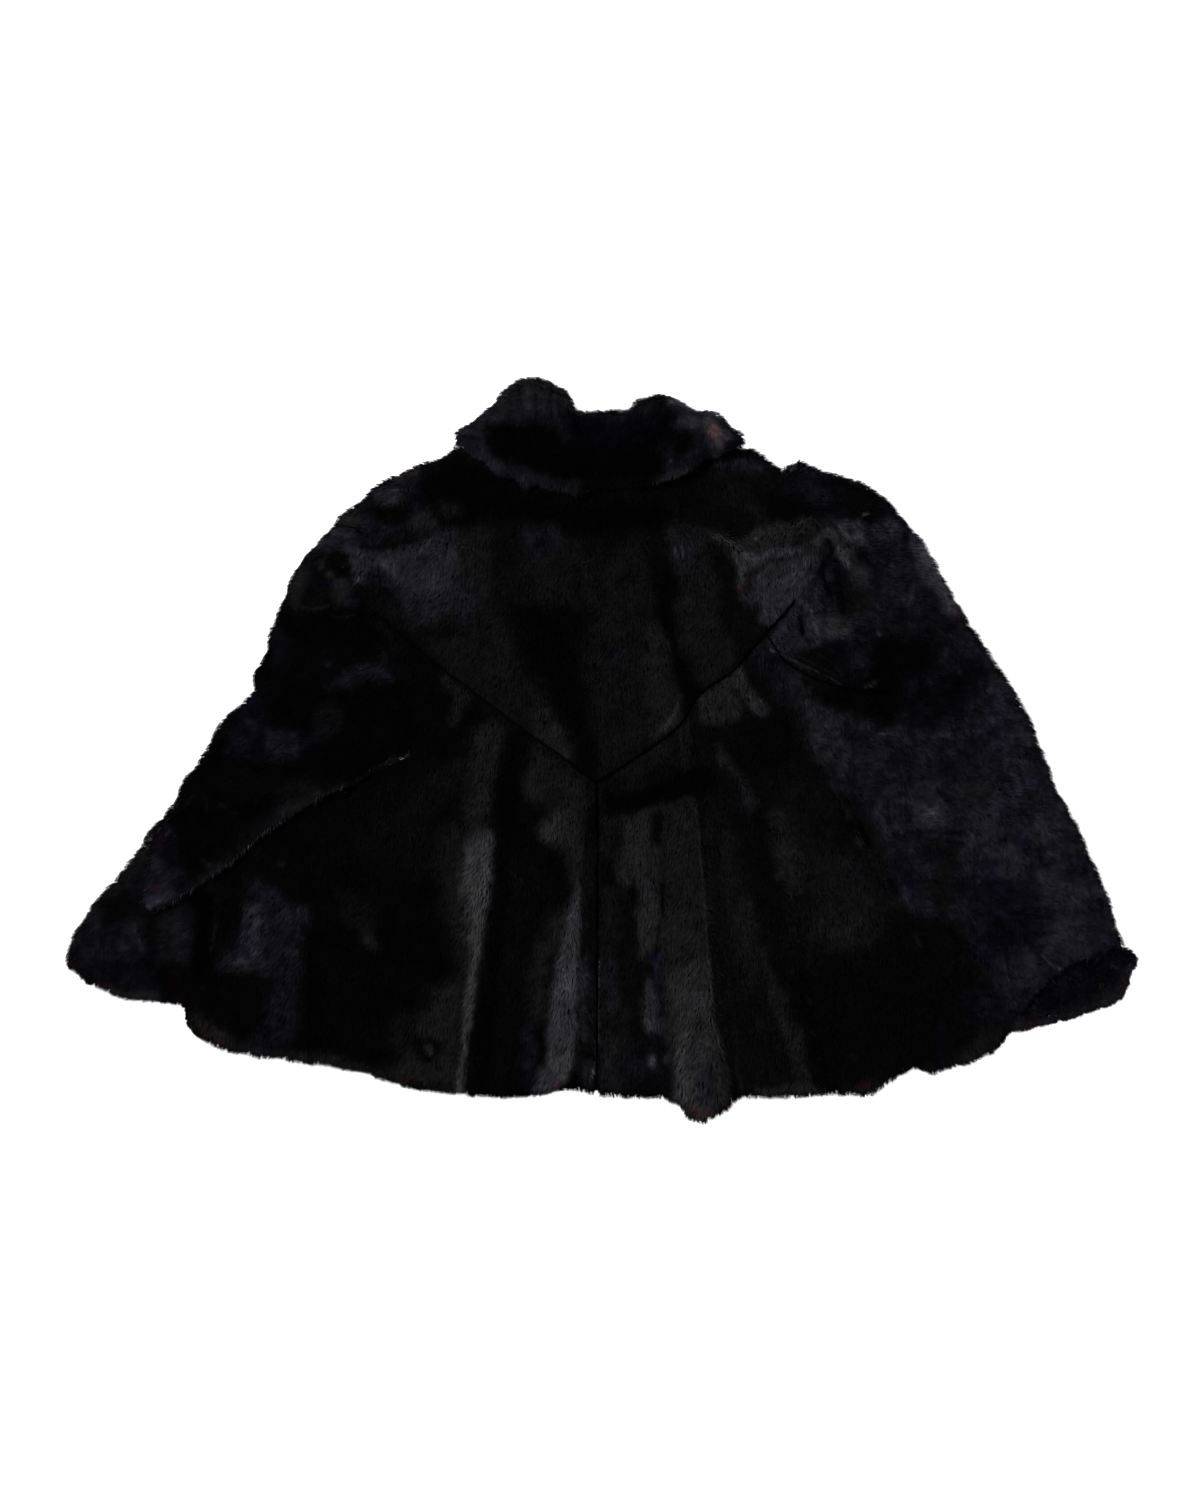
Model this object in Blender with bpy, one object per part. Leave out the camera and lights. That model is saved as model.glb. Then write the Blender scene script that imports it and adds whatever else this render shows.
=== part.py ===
"""A short cape of black sheared fur, laid flat on its front with its back up.

The cape rests on the plane z = 0. +X is the wearer's right, +Y points from the hem to the collar and +Z
is up. Plan points are in millimetres from the middle of the outline. Every piece is a wall as thick as
the skin with its pile. The pieces that reach the outline turn under there and lie on the surface.
"""

import math
from collections import namedtuple

import bmesh
import bpy
from mathutils import Vector
from mathutils.geometry import delaunay_2d_cdt

COLLECTION = "fur_capelet"
MM = 0.001

PLAN_MIDDLE = (0.0, 0.5)  # the middle of the outline in the plan points' own millimetres

# Cloth, in millimetres
WALL = 9.0  # skin with its sheared pile
SEAM_GAP = 0.3  # between neighbouring pieces
FOLD_REACH = 10.0  # a turned side is round over this width
FOLD_INNER = 2.0  # the same inside the wall
FOLD_STEPS = 6  # facets round a turned side
TOP_CELL = 21.0  # facet size on the back
UNDER_CELL = 42.0  # facet size on the flat fronts

# Heights of the back's upper face above the surface
BACK_REST = 21.0  # where it lies on the fronts
CROWN = (0.0, 60.0, 220.0, 150.0, 10.0)  # the fullness over the yoke: x, y, reach in x and in y, height
DRAPE_LIFT = 11.0  # how far the left arm's drape stands above what it lies on
DRAPE_FLAT = 24.0  # it is lifted fully up to this far from its edge
DRAPE_REACH = 85.0  # and is back on the rest of the arm here
DRAPE_START = 70.0  # the drape grows to its full lift over this length of its edge
STAND_REST = 15.0  # underside of the collar's stand
COLLAR_REST = 36.0  # upper face of the collar's fall

# Plan edges, in millimetres. Neighbouring pieces share an edge, and FOLDED edges turn under.
EDGES = {
    # outline, clockwise from the collar's left corner
    "yoke_side_left": [(-205, 236), (-178, 251), (-150, 264), (-129, 275)],
    "shoulder_out_left": [(-311, 55), (-302, 84), (-294, 113), (-284, 140), (-273, 166), (-260, 184),
                          (-240, 201), (-224, 218), (-205, 236)],
    "arm_out_left": [(-404, -72), (-379, -48), (-363, -22), (-341, 18), (-327, 38), (-311, 55)],
    "corner_out_left": [(-482, -191), (-471, -162), (-460, -144), (-442, -121), (-424, -99),
                        (-404, -72)],
    "corner_hem_left": [(-371, -241), (-378, -229), (-392, -226), (-411, -228), (-433, -221),
                        (-455, -212), (-473, -203), (-482, -191)],
    "back_hem_left": [(-4, -308), (-28, -303), (-46, -306), (-73, -311), (-109, -311), (-145, -308),
                      (-181, -302), (-226, -286), (-271, -279), (-316, -275), (-334, -272),
                      (-356, -265), (-368, -253), (-371, -241)],
    "back_hem_right": [(274, -290), (250, -301), (224, -309), (179, -311), (130, -312), (118, -316),
                       (110, -326), (94, -334), (79, -327), (67, -315), (53, -311), (17, -311),
                       (-4, -308)],
    "arm_hem_right": [(467, -177), (450, -188), (431, -186), (414, -196), (397, -210), (383, -228),
                      (366, -248), (354, -267), (337, -279), (314, -286), (292, -290), (274, -290)],
    "arm_out_right": [(330, 110), (346, 94), (373, 54), (395, 13), (415, -36), (442, -90), (460, -144),
                      (467, -177)],
    "shoulder_out_right": [(164, 252), (180, 259), (200, 253), (233, 240), (258, 224), (276, 202),
                           (296, 166), (314, 136), (330, 110)],
    "yoke_side_right": [(130, 275), (148, 265), (164, 252)],
    # seams of the back
    "neck_left": [(-129, 275), (-112, 270)],
    "neck": [(-112, 270), (-60, 262), (0, 258), (60, 262), (112, 270)],
    "neck_right": [(112, 270), (130, 275)],
    "armhole_left": [(-205, 236), (-215, 190), (-224, 152), (-203, 122)],
    "v_left": [(-203, 122), (-154, 81), (-118, 54), (-73, 20), (-37, -5), (-4, -30)],
    "v_right": [(-4, -30), (35, -5), (71, 22), (89, 50), (118, 70), (136, 90), (148, 104)],
    "armhole_right": [(148, 104), (182, 141), (200, 176), (203, 196), (176, 221), (162, 238),
                      (164, 252)],
    "centre_back": [(-4, -30), (-3, -170), (-4, -308)],
    "shoulder_seam_left": [(-203, 122), (-215, 90), (-245, 55), (-280, 43), (-311, 55)],
    "shoulder_seam_right": [(148, 104), (167, 78), (206, 58), (258, 50), (309, 74), (330, 110)],
    "underarm_left": [(-203, 122), (-184, 62), (-167, 0)],
    "side_right": [(148, 104), (176, 40), (203, -23), (239, -78), (261, -126), (282, -176), (285, -230),
                   (274, -290)],
    # the drape of the left arm: its edge, and the edges of what is tucked under it
    "drape_start": [(-167, 0), (-198, -14), (-229, -34)],
    "drape_edge": [(-229, -34), (-260, -49), (-293, -69), (-325, -99), (-362, -124), (-385, -138),
                   (-406, -145), (-411, -130), (-407, -98), (-404, -72)],
    "tuck_back": [(-229, -34), (-255, -32), (-290, -48), (-322, -76), (-345, -102)],
    "tuck_corner": [(-345, -102), (-372, -114), (-391, -106), (-404, -72)],
    "corner_seam": [(-345, -102), (-350, -170), (-357, -215), (-371, -241)],
    # inner edges of the turned-under strips
    "under_yoke_left": [(-165, 190), (-138, 217), (-112, 240)],
    "under_shoulder_left": [(-245, 40), (-205, 110), (-165, 190)],
    "under_arm_left": [(-335, -80), (-290, -20), (-245, 40)],
    "under_corner_left": [(-428, -214), (-385, -150), (-335, -80)],
    "under_arm_right": [(258, 62), (305, -5), (355, -85), (395, -150)],
    "under_shoulder_right": [(135, 200), (190, 130), (258, 62)],
    "under_yoke_right": [(112, 240), (124, 222), (135, 200)],
    # fronts, open between their centre edges
    "front_hem_left": [(-22, -302), (-73, -306), (-145, -303), (-181, -297), (-226, -281), (-316, -270),
                       (-352, -261), (-380, -236), (-404, -222), (-428, -214)],
    "centre_front_left": [(-22, 180), (-22, -60), (-22, -302)],
    "front_neck_left": [(-112, 240), (-75, 232), (-40, 210), (-22, 180)],
    "front_neck_right": [(22, 180), (40, 210), (75, 232), (112, 240)],
    "centre_front_right": [(22, -303), (22, -60), (22, 180)],
    "front_hem_right": [(467, -177), (477, -180), (482, -191), (478, -205), (471, -219), (458, -230),
                        (440, -236), (413, -246), (386, -252), (368, -257), (352, -263), (330, -276),
                        (292, -284), (250, -294), (179, -305), (100, -307), (22, -303)],
    "front_side_right": [(395, -150), (467, -177)],
    # collar
    "collar_top": [(-129, 281), (-127, 290), (-113, 297), (-95, 314), (-80, 329), (-62, 335),
                   (-44, 331), (-29, 318), (-17, 305), (5, 305), (28, 308), (42, 317), (60, 320),
                   (80, 311), (100, 302), (115, 294), (126, 281)],
    "fall_edge": [(126, 281), (107, 269), (89, 256), (67, 244), (44, 237), (17, 235), (-19, 236),
                  (-50, 240), (-77, 247), (-104, 260), (-129, 281)],
    "collar_end_left": [(-22, 180), (-16, 215), (-16, 265), (-24, 300), (-46, 318), (-70, 320),
                        (-90, 306), (-108, 288), (-118, 268), (-112, 240)],
    "collar_end_right": [(112, 240), (118, 268), (108, 290), (84, 302), (60, 310), (36, 302), (18, 290),
                         (16, 265), (16, 215), (22, 180)],
}

# Where the back rises into folds. The crest runs down the back; start and end are the heights at its two
# ends; left and right are the reaches of its two sides; fading says at which ends it runs out.
Fold = namedtuple("Fold", "crest start end left right fading")
FOLDS = {
    "flare_left_outer": Fold([(-100, 45), (-92, 0), (-96, -99), (-106, -189), (-120, -312)],
                             4, 17, 38, 15, "start"),
    "flare_left_inner": Fold([(-22, -90), (-20, -170), (-24, -306)], 4, 15, 30, 12, "start"),
    "flare_middle": Fold([(82, -30), (90, -99), (94, -167), (101, -242), (108, -334)], 6, 20, 40, 14, "start"),
    "flare_right": Fold([(106, 6), (140, -56), (158, -130), (172, -200), (190, -312)], 5, 12, 26, 13, "start"),
    "yoke_left": Fold([(-142, 205), (-130, 140), (-116, 60)], 5, 5, 48, 24, "both"),
    "yoke_middle": Fold([(-84, 190), (-62, 100), (-30, -5)], 5, 5, 46, 28, "both"),
    "yoke_inner_right": Fold([(34, 170), (48, 105), (62, 40)], 4, 5, 44, 22, "both"),
    "yoke_right": Fold([(100, 180), (112, 140), (122, 95)], 4, 5, 36, 20, "both"),
    "shoulder_right": Fold([(104, 200), (130, 177), (185, 196), (236, 208)], 6, 6, 16, 22, "both"),
    "underarm_left": Fold([(-163, 99), (-198, 76), (-235, 54)], 4, 4, 14, 14, "both"),
}
Swell = namedtuple("Swell", "x y reach height")  # a soft round swelling
SWELLS = [
    Swell(-262, 150, 55, 6), Swell(-296, 20, 50, 4), Swell(-296, -165, 55, 5), Swell(228, 226, 42, 8),
    Swell(238, 130, 60, 9), Swell(300, 120, 50, 5), Swell(390, -60, 80, 4), Swell(320, -150, 90, 4),
    Swell(-440, -160, 40, 3),
]
COLLAR_SWELLS = [
    Swell(-62, 312, 34, 9), Swell(62, 306, 30, 6), Swell(-100, 280, 30, 3), Swell(100, 284, 28, 4),
    Swell(0, 268, 60, -2),
]


def smoothstep(x):
    x = min(max(x, 0.0), 1.0)
    return x * x * (3 - 2 * x)


def curve_point(before, start, end, after, t):
    """A point on the smooth curve from start to end, with t from 0 to 1."""
    return 0.5 * (2 * start + (end - before) * t + (2 * before - 5 * start + 4 * end - after) * t * t
                  + (3 * start - before - 3 * end + after) * t ** 3)


def smooth_curve(points, count=None, cell=TOP_CELL):
    """Evenly spaced points along the smooth curve through the given ones, count + 1 of them or one a cell."""
    keys = [Vector(p) for p in points]
    keys = [2 * keys[0] - keys[1], *keys, 2 * keys[-1] - keys[-2]]
    fine_steps = 12
    fine = [curve_point(*keys[i:i + 4], k / fine_steps)
            for i in range(len(keys) - 3) for k in range(fine_steps)]
    fine.append(keys[-2])
    along = [0.0]
    for a, b in zip(fine, fine[1:]):
        along.append(along[-1] + (b - a).length)
    count = count or max(1, round(along[-1] / cell))
    result, i = [], 0
    for k in range(count + 1):
        target = along[-1] * k / count
        while i < len(fine) - 2 and along[i + 1] < target:
            i += 1
        share = (target - along[i]) / max(along[i + 1] - along[i], 1e-9)
        result.append(fine[i].lerp(fine[i + 1], share))
    return result


def nearest_on(line, point):
    """The distance to a line of points, + to the right of its run down the back, the length to there and
    the line's whole length."""
    best, passed = (math.inf, 1.0, 0.0), 0.0
    for a, b in zip(line, line[1:]):
        run = b - a
        share = min(max((point - a).dot(run) / run.length_squared, 0.0), 1.0)
        gap = point - (a + run * share)
        if gap.length < best[0]:
            side = 1.0 if run.x * gap.y - run.y * gap.x >= 0 else -1.0
            best = (gap.length, side, passed + run.length * share)
        passed += run.length
    return best[0] * best[1], best[2], passed


def beside(line, offset):
    """The line of points moved sideways, + to the right of its run down the back."""
    result = []
    for i, point in enumerate(line):
        run = (line[min(i + 1, len(line) - 1)] - line[max(i - 1, 0)]).normalized()
        result.append(point + Vector((-run.y, run.x)) * offset)
    return result


fold_lines = {name: smooth_curve(fold.crest, cell=12.0) for name, fold in FOLDS.items()}
facet_lines = [smooth_curve(fold.crest) for fold in FOLDS.values()]
facet_lines += [beside(smooth_curve(fold.crest), fold.right) for fold in FOLDS.values()]
drape_line = (smooth_curve(EDGES["drape_start"], cell=10.0)
              + smooth_curve(EDGES["drape_edge"], cell=10.0)[1:])


def fold_height(name, point):
    fold = FOLDS[name]
    offset, at, length = nearest_on(fold_lines[name], point)
    reach = fold.right if offset > 0 else fold.left
    if abs(offset) >= reach:
        return 0.0
    share = at / length
    height = fold.start + (fold.end - fold.start) * share
    height *= smoothstep(share / 0.25)
    if fold.fading == "both":
        height *= smoothstep((1 - share) / 0.25)
    return height * 0.5 * (1 + math.cos(math.pi * offset / reach))


def swell_height(swells, point):
    return sum(s.height * math.exp(-((point.x - s.x) ** 2 + (point.y - s.y) ** 2) / s.reach ** 2)
               for s in swells)


def back_height(point):
    """The upper face of the back above the surface."""
    x, y, reach_x, reach_y, height = CROWN
    crown = height * math.exp(-((point.x - x) / reach_x) ** 2 - ((point.y - y) / reach_y) ** 2)
    folds = sum(fold_height(name, point) for name in FOLDS)
    return BACK_REST + crown + swell_height(SWELLS, point) + folds


def drape_height(point):
    """The left arm: the back's height, lifted along the drape's edge."""
    offset, at, _ = nearest_on(drape_line, point)
    near_edge = 1 - smoothstep((abs(offset) - DRAPE_FLAT) / (DRAPE_REACH - DRAPE_FLAT))
    return back_height(point) + DRAPE_LIFT * near_edge * smoothstep(at / DRAPE_START)


def collar_height(point):
    return COLLAR_REST + swell_height(COLLAR_SWELLS, point)


def flat_height(_point):
    return WALL


# Each piece: its edges in order round it, the height of its upper face, the height of the underside that
# its turned sides reach, and its facet size. A minus before an edge's name runs it backwards. FOLDED gives
# the inner edge that each turned side reaches.
Piece = namedtuple("Piece", "edges height base cell", defaults=(0.0, TOP_CELL))
FOLDED = {
    "yoke_side_left": "under_yoke_left", "shoulder_out_left": "under_shoulder_left",
    "arm_out_left": "under_arm_left", "corner_out_left": "under_corner_left",
    "arm_out_right": "under_arm_right", "shoulder_out_right": "under_shoulder_right",
    "yoke_side_right": "under_yoke_right", "collar_top": "neck",
}
PIECES = {
    "yoke_back": Piece(["yoke_side_left", "neck_left", "neck", "neck_right", "yoke_side_right", "-armhole_right",
                        "-v_right", "-v_left", "-armhole_left"], back_height),
    "back_left": Piece(["v_left", "centre_back", "back_hem_left", "-corner_seam", "-tuck_back", "-drape_start",
                        "-underarm_left"], back_height),
    "back_right": Piece(["v_right", "side_right", "back_hem_right", "-centre_back"], back_height),
    "shoulder_left": Piece(["shoulder_out_left", "armhole_left", "shoulder_seam_left"], back_height),
    "shoulder_right": Piece(["shoulder_out_right", "-shoulder_seam_right", "armhole_right"], back_height),
    "arm_left": Piece(["arm_out_left", "-shoulder_seam_left", "underarm_left", "drape_start", "drape_edge"],
                      drape_height),
    "arm_hem_left": Piece(["corner_out_left", "-tuck_corner", "corner_seam", "corner_hem_left"], back_height),
    "arm_right": Piece(["arm_out_right", "arm_hem_right", "-side_right", "shoulder_seam_right"], back_height),
    "front_left": Piece(["under_corner_left", "under_arm_left", "under_shoulder_left", "under_yoke_left",
                         "front_neck_left", "centre_front_left", "front_hem_left"], flat_height, 0.0, UNDER_CELL),
    "front_right": Piece(["under_yoke_right", "under_shoulder_right", "under_arm_right", "front_side_right",
                          "front_hem_right", "centre_front_right", "front_neck_right"], flat_height, 0.0,
                         UNDER_CELL),
    "collar_fall": Piece(["collar_top", "fall_edge"], collar_height, STAND_REST),
    "collar_end_left": Piece(["collar_end_left", "front_neck_left"], flat_height, 0.0, UNDER_CELL),
    "collar_end_right": Piece(["collar_end_right", "front_neck_right"], flat_height, 0.0, UNDER_CELL),
}
COLOURS = {"back": (0.013, 0.012, 0.013), "side": (0.012, 0.011, 0.015), "collar": (0.010, 0.009, 0.012)}


def reset_scene():
    for ob in list(bpy.data.objects):
        bpy.data.objects.remove(ob, do_unlink=True)


def fur_material(name):
    """Matt near-black fur, a little bluer on the arms and the shoulders than on the back."""
    tint = "collar" if "collar" in name else "back" if "back" in name else "side"
    material = bpy.data.materials.new(name + "_fur")
    material.use_nodes = True
    shader = material.node_tree.nodes["Principled BSDF"]
    shader.inputs["Base Color"].default_value = (*COLOURS[tint], 1.0)
    shader.inputs["Roughness"].default_value = 0.85
    shader.inputs["Metallic"].default_value = 0.0
    return material


def inset(loop, width):
    """The closed loop of plan points, moved in by width."""
    area = sum(a.x * b.y - b.x * a.y for a, b in zip(loop, loop[1:] + loop[:1]))
    turn = math.copysign(1.0, area)
    result = []
    for i, point in enumerate(loop):
        runs = (point - loop[i - 1]).normalized(), (loop[(i + 1) % len(loop)] - point).normalized()
        normals = [Vector((-run.y, run.x)) * turn for run in runs]
        middle = (normals[0] + normals[1]).normalized()
        result.append(point + middle * width / max(middle.dot(normals[0]), 0.35))
    return result


def inside(loop, point):
    """True if the point is within the closed loop."""
    hit = False
    for a, b in zip(loop, loop[1:] + loop[:1]):
        crosses = (a.y > point.y) != (b.y > point.y)
        if crosses and point.x < a.x + (b.x - a.x) * (point.y - a.y) / (b.y - a.y):
            hit = not hit
    return hit


def filled(loop, cell, lines):
    """Plan points and triangles that fill the loop. The loop's own points come first, in order, then those
    of the lines that facet edges follow."""
    low = Vector((min(p.x for p in loop), min(p.y for p in loop)))
    high = Vector((max(p.x for p in loop), max(p.y for p in loop)))
    closed = loop + loop[:1]
    points, row, y = list(loop), 0, low.y + cell / 2

    def add_point(point):
        if inside(loop, point) and abs(nearest_on(closed, point)[0]) > 0.45 * cell:
            if all((point - other).length > 0.6 * cell for other in points[len(loop):]):
                points.append(point)

    for line in lines:
        for point in line:
            add_point(point)
    while y < high.y:
        x = low.x + cell * (0.5 if row % 2 else 0.0)
        while x < high.x:
            add_point(Vector((x, y)))
            x += cell
        y += cell * math.sqrt(3) / 2
        row += 1
    rim = [(i, (i + 1) % len(loop)) for i in range(len(loop))]
    inside_only = 1
    places, _, triangles, *_ = delaunay_2d_cdt(points, rim, [], inside_only, 1e-4)
    return places, triangles


def piece_loop(piece):
    """The piece's closed plan loop, and its turned sides: the place in the loop of each one's first point,
    its outline points and the inner points that it reaches."""
    loop, turned = [], []
    for name in piece.edges:
        backwards, name = name.startswith("-"), name.lstrip("-")
        line = sampled_edge(name)
        if name in FOLDED:
            turned.append((len(loop), line, sampled_edge(FOLDED[name])))
        loop += (line[::-1] if backwards else line)[:-1]
    for start, outline, under in turned:
        for i, (point, reached) in enumerate(zip(outline, under)):
            loop[(start + i) % len(loop)] = point + (reached - point).normalized() * FOLD_REACH
    return inset(loop, SEAM_GAP / 2), turned


def sampled_edge(name):
    """The edge's points. The inner edge of a turned side has as many as the outline it belongs to."""
    owner = next((side for side, under in FOLDED.items() if under == name), name)
    count = len(smooth_curve(EDGES[owner])) - 1
    return smooth_curve(EDGES[name], count)


def end_shift(outline, under, i):
    """What moves a turned side's end column into its own piece, half a seam gap."""
    if 0 < i < len(outline) - 1:
        return Vector((0, 0))
    inward = (under[i] - outline[i]).normalized()
    along = outline[1] - outline[0] if i == 0 else outline[-2] - outline[-1]
    across = along - inward * along.dot(inward)
    return across.normalized() * SEAM_GAP / 2


def turned_rows(piece, loop, start, outline, under):
    """Rows of a turned side below its first, from the round to the inner edge. Each has a column for each
    point of the outline: the place on the outer face and the place on the inner face."""
    strip = sum((u - p).length for p, u in zip(outline, under)) / len(outline) - FOLD_REACH
    strip_steps = max(1, round(strip / UNDER_CELL))
    rows = [[] for _ in range(FOLD_STEPS + strip_steps)]
    for i, (point, reached) in enumerate(zip(outline, under)):
        shift = end_shift(outline, under, i)
        inward = (reached - point).normalized()
        top = loop[(start + i) % len(loop)]
        tip = point + shift
        end = reached + shift - inward * SEAM_GAP / 2
        high = piece.height(top)
        middle, half = (high + piece.base) / 2, (high - piece.base) / 2
        for k in range(1, FOLD_STEPS + 1):
            angle = math.pi * (0.5 - k / FOLD_STEPS)
            out = (tip - top) * math.cos(angle)
            outer = (*(top + out), middle + half * math.sin(angle))
            inner = (*(top + out * FOLD_INNER / FOLD_REACH), middle + (half - WALL) * math.sin(angle))
            rows[k - 1].append((outer, inner))
        for k in range(1, strip_steps + 1):
            plan = top.lerp(end, k / strip_steps)
            rows[FOLD_STEPS + k - 1].append(((*plan, piece.base), (*plan, piece.base + WALL)))
    return rows


def build_piece(name, piece, collection):
    """One closed wall: its outer face is made first, and its inner face is extruded from that."""
    bm = bmesh.new()
    inner_place = bm.verts.layers.float_vector.new("inner_place")

    def add_vert(outer, inner):
        vert = bm.verts.new(Vector(outer) * MM)
        vert[inner_place] = Vector(inner) * MM
        return vert

    loop, turned = piece_loop(piece)
    lines = [] if piece.height is flat_height else facet_lines
    points, triangles = filled(loop, piece.cell, lines)
    verts = []
    for point in points:
        high = piece.height(point)
        verts.append(add_vert((*point, high), (*point, high - WALL)))
    for triangle in triangles:
        bm.faces.new([verts[i] for i in triangle])
    for start, outline, under in turned:
        above = [verts[(start + i) % len(loop)] for i in range(len(outline))]
        for row in turned_rows(piece, loop, start, outline, under):
            below = [add_vert(outer, inner) for outer, inner in row]
            for i in range(len(row) - 1):
                bm.faces.new((above[i], above[i + 1], below[i + 1], below[i]))
            above = below
    bmesh.ops.recalc_face_normals(bm, faces=bm.faces)
    extruded = bmesh.ops.extrude_face_region(bm, geom=bm.faces[:])
    for item in extruded["geom"]:
        if isinstance(item, bmesh.types.BMVert):
            item.co = item[inner_place]
    bmesh.ops.triangulate(bm, faces=bm.faces)
    bmesh.ops.recalc_face_normals(bm, faces=bm.faces)
    bmesh.ops.translate(bm, verts=bm.verts, vec=Vector((*PLAN_MIDDLE, 0.0)) * -MM)
    mesh = bpy.data.meshes.new(name)
    bm.to_mesh(mesh)
    bm.free()
    mesh.shade_smooth()
    mesh.set_sharp_from_angle(angle=math.radians(50))
    mesh.materials.append(fur_material(name))
    collection.objects.link(bpy.data.objects.new(name, mesh))
    print(name, len(mesh.polygons), "triangles")


def main():
    reset_scene()
    collection = bpy.data.collections.new(COLLECTION)
    bpy.context.scene.collection.children.link(collection)
    for name, piece in PIECES.items():
        build_piece(name, piece, collection)


main()
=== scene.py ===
"""The looks of a short black fur cape, laid flat on its front with its back up.

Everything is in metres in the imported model's frame: +X is the wearer's right, +Y points to the collar and
+Z is up. Sizes are in millimetres, times mm, and places on the cape are plan points in millimetres.
"""

import math
from collections import namedtuple

import bmesh
import bpy
import numpy as np
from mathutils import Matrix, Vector
from mathutils.kdtree import KDTree


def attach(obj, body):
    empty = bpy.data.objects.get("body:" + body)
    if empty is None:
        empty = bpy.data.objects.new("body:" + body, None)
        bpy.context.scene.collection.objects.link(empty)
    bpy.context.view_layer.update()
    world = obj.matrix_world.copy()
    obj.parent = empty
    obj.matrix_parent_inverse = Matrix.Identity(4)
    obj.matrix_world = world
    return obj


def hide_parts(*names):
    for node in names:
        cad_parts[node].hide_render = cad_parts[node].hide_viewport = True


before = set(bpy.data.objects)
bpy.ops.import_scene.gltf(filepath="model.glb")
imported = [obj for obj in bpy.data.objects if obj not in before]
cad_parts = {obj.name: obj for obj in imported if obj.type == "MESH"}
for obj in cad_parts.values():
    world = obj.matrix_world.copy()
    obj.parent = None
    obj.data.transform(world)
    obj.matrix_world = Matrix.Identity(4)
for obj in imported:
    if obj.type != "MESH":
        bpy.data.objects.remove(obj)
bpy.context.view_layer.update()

# ---- The studio ------------------------------------------------------------------------------------------
# A white sheet on the table, one large soft lamp above the cape's upper left and the camera straight above.
# The sheet glows a little, as a lit table does, so that it stays white under the cape's edge.
mm = 0.001
sheet_size = 60000 * mm
sheet_colour = (0.93, 0.93, 0.93, 1.0)
sheet_glow = 0.9
key_place, key_size, key_power = Vector((-1.3, 1.05, 1.8)), 0.8, 110
fill_place, fill_size, fill_power = Vector((-0.3, 0.2, 2.9)), 1.6, 4
room_light = 0.85
camera_middle, camera_height, camera_lens = (-0.9 * mm, -0.5 * mm), 2.637, 70


class Node:
    """One output socket. A Node plus or times another, or a number, adds a Math node. add() adds any node."""

    tree = None

    def __init__(self, socket):
        self.socket = socket

    @classmethod
    def add(cls, kind, settings=None, **values):
        """A new node of that type, its settings made first, its sockets given by name or, as i0, by place."""
        node = cls.tree.nodes.new(kind)
        for name, value in (settings or {}).items():
            setattr(node, name, value)
        for name, value in values.items():
            socket = node.inputs[int(name[1:]) if name[1:].isdigit() else name.replace("_", " ")]
            if isinstance(value, Node):
                cls.tree.links.new(value.socket, socket)
            else:
                socket.default_value = value
        return node

    @classmethod
    def maths(cls, operation, *values):
        sockets = {f"i{i}": value for i, value in enumerate(values)}
        return cls(cls.add("ShaderNodeMath", {"operation": operation}, **sockets).outputs[0])

    def __add__(self, other):
        return Node.maths("ADD", self, other)

    def __mul__(self, other):
        return Node.maths("MULTIPLY", self, other)


def new_finish(name):
    """An empty node material, ready for Node, and its Principled shader."""
    finish = bpy.data.materials.new(name)
    finish.use_nodes = True
    Node.tree = finish.node_tree
    return finish, finish.node_tree.nodes["Principled BSDF"]


white_sheet, shader = new_finish("white_sheet")
shader.inputs["Base Color"].default_value = sheet_colour
shader.inputs["Roughness"].default_value = 0.9
shader.inputs["Emission Color"].default_value = (1.0, 1.0, 1.0, 1.0)
shader.inputs["Emission Strength"].default_value = sheet_glow
bm = bmesh.new()
bmesh.ops.create_grid(bm, x_segments=2, y_segments=2, size=sheet_size / 2)
bmesh.ops.translate(bm, verts=bm.verts, vec=(0, 0, -0.2 * mm))
mesh = bpy.data.meshes.new("table_sheet")
bm.to_mesh(mesh)
bm.free()
mesh.materials.append(white_sheet)
table_sheet = bpy.data.objects.new("table_sheet", mesh)
bpy.context.scene.collection.objects.link(table_sheet)

for name, place, size, power in (("key", key_place, key_size, key_power),
                                 ("fill", fill_place, fill_size, fill_power)):
    lamp = bpy.data.lights.new(name, "AREA")
    lamp.size, lamp.energy = size, power
    lamp_object = bpy.data.objects.new(name, lamp)
    lamp_object.location = place
    lamp_object.rotation_euler = (-place).to_track_quat("-Z", "Y").to_euler()
    bpy.context.scene.collection.objects.link(lamp_object)
world = bpy.data.worlds.new("room")
world.use_nodes = True
world.node_tree.nodes["Background"].inputs["Color"].default_value = (1.0, 1.0, 1.0, 1.0)
world.node_tree.nodes["Background"].inputs["Strength"].default_value = room_light
bpy.context.scene.world = world
bpy.context.scene.view_settings.view_transform = "Standard"

camera = bpy.data.objects.new("camera", bpy.data.cameras.new("camera"))
camera.data.lens, camera.data.sensor_width = camera_lens, 36
camera.location = (*camera_middle, camera_height)
bpy.context.scene.collection.objects.link(camera)
bpy.context.scene.camera = camera

# ---- The back --------------------------------------------------------------------------------------------
# A yoke that runs from the neck seam to a pointed V seam, and two flared panels that hang from it, joined at
# the centre back. They are whole pelts of sheared fur, dyed black, lined, and sewn fur to fur.

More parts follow.
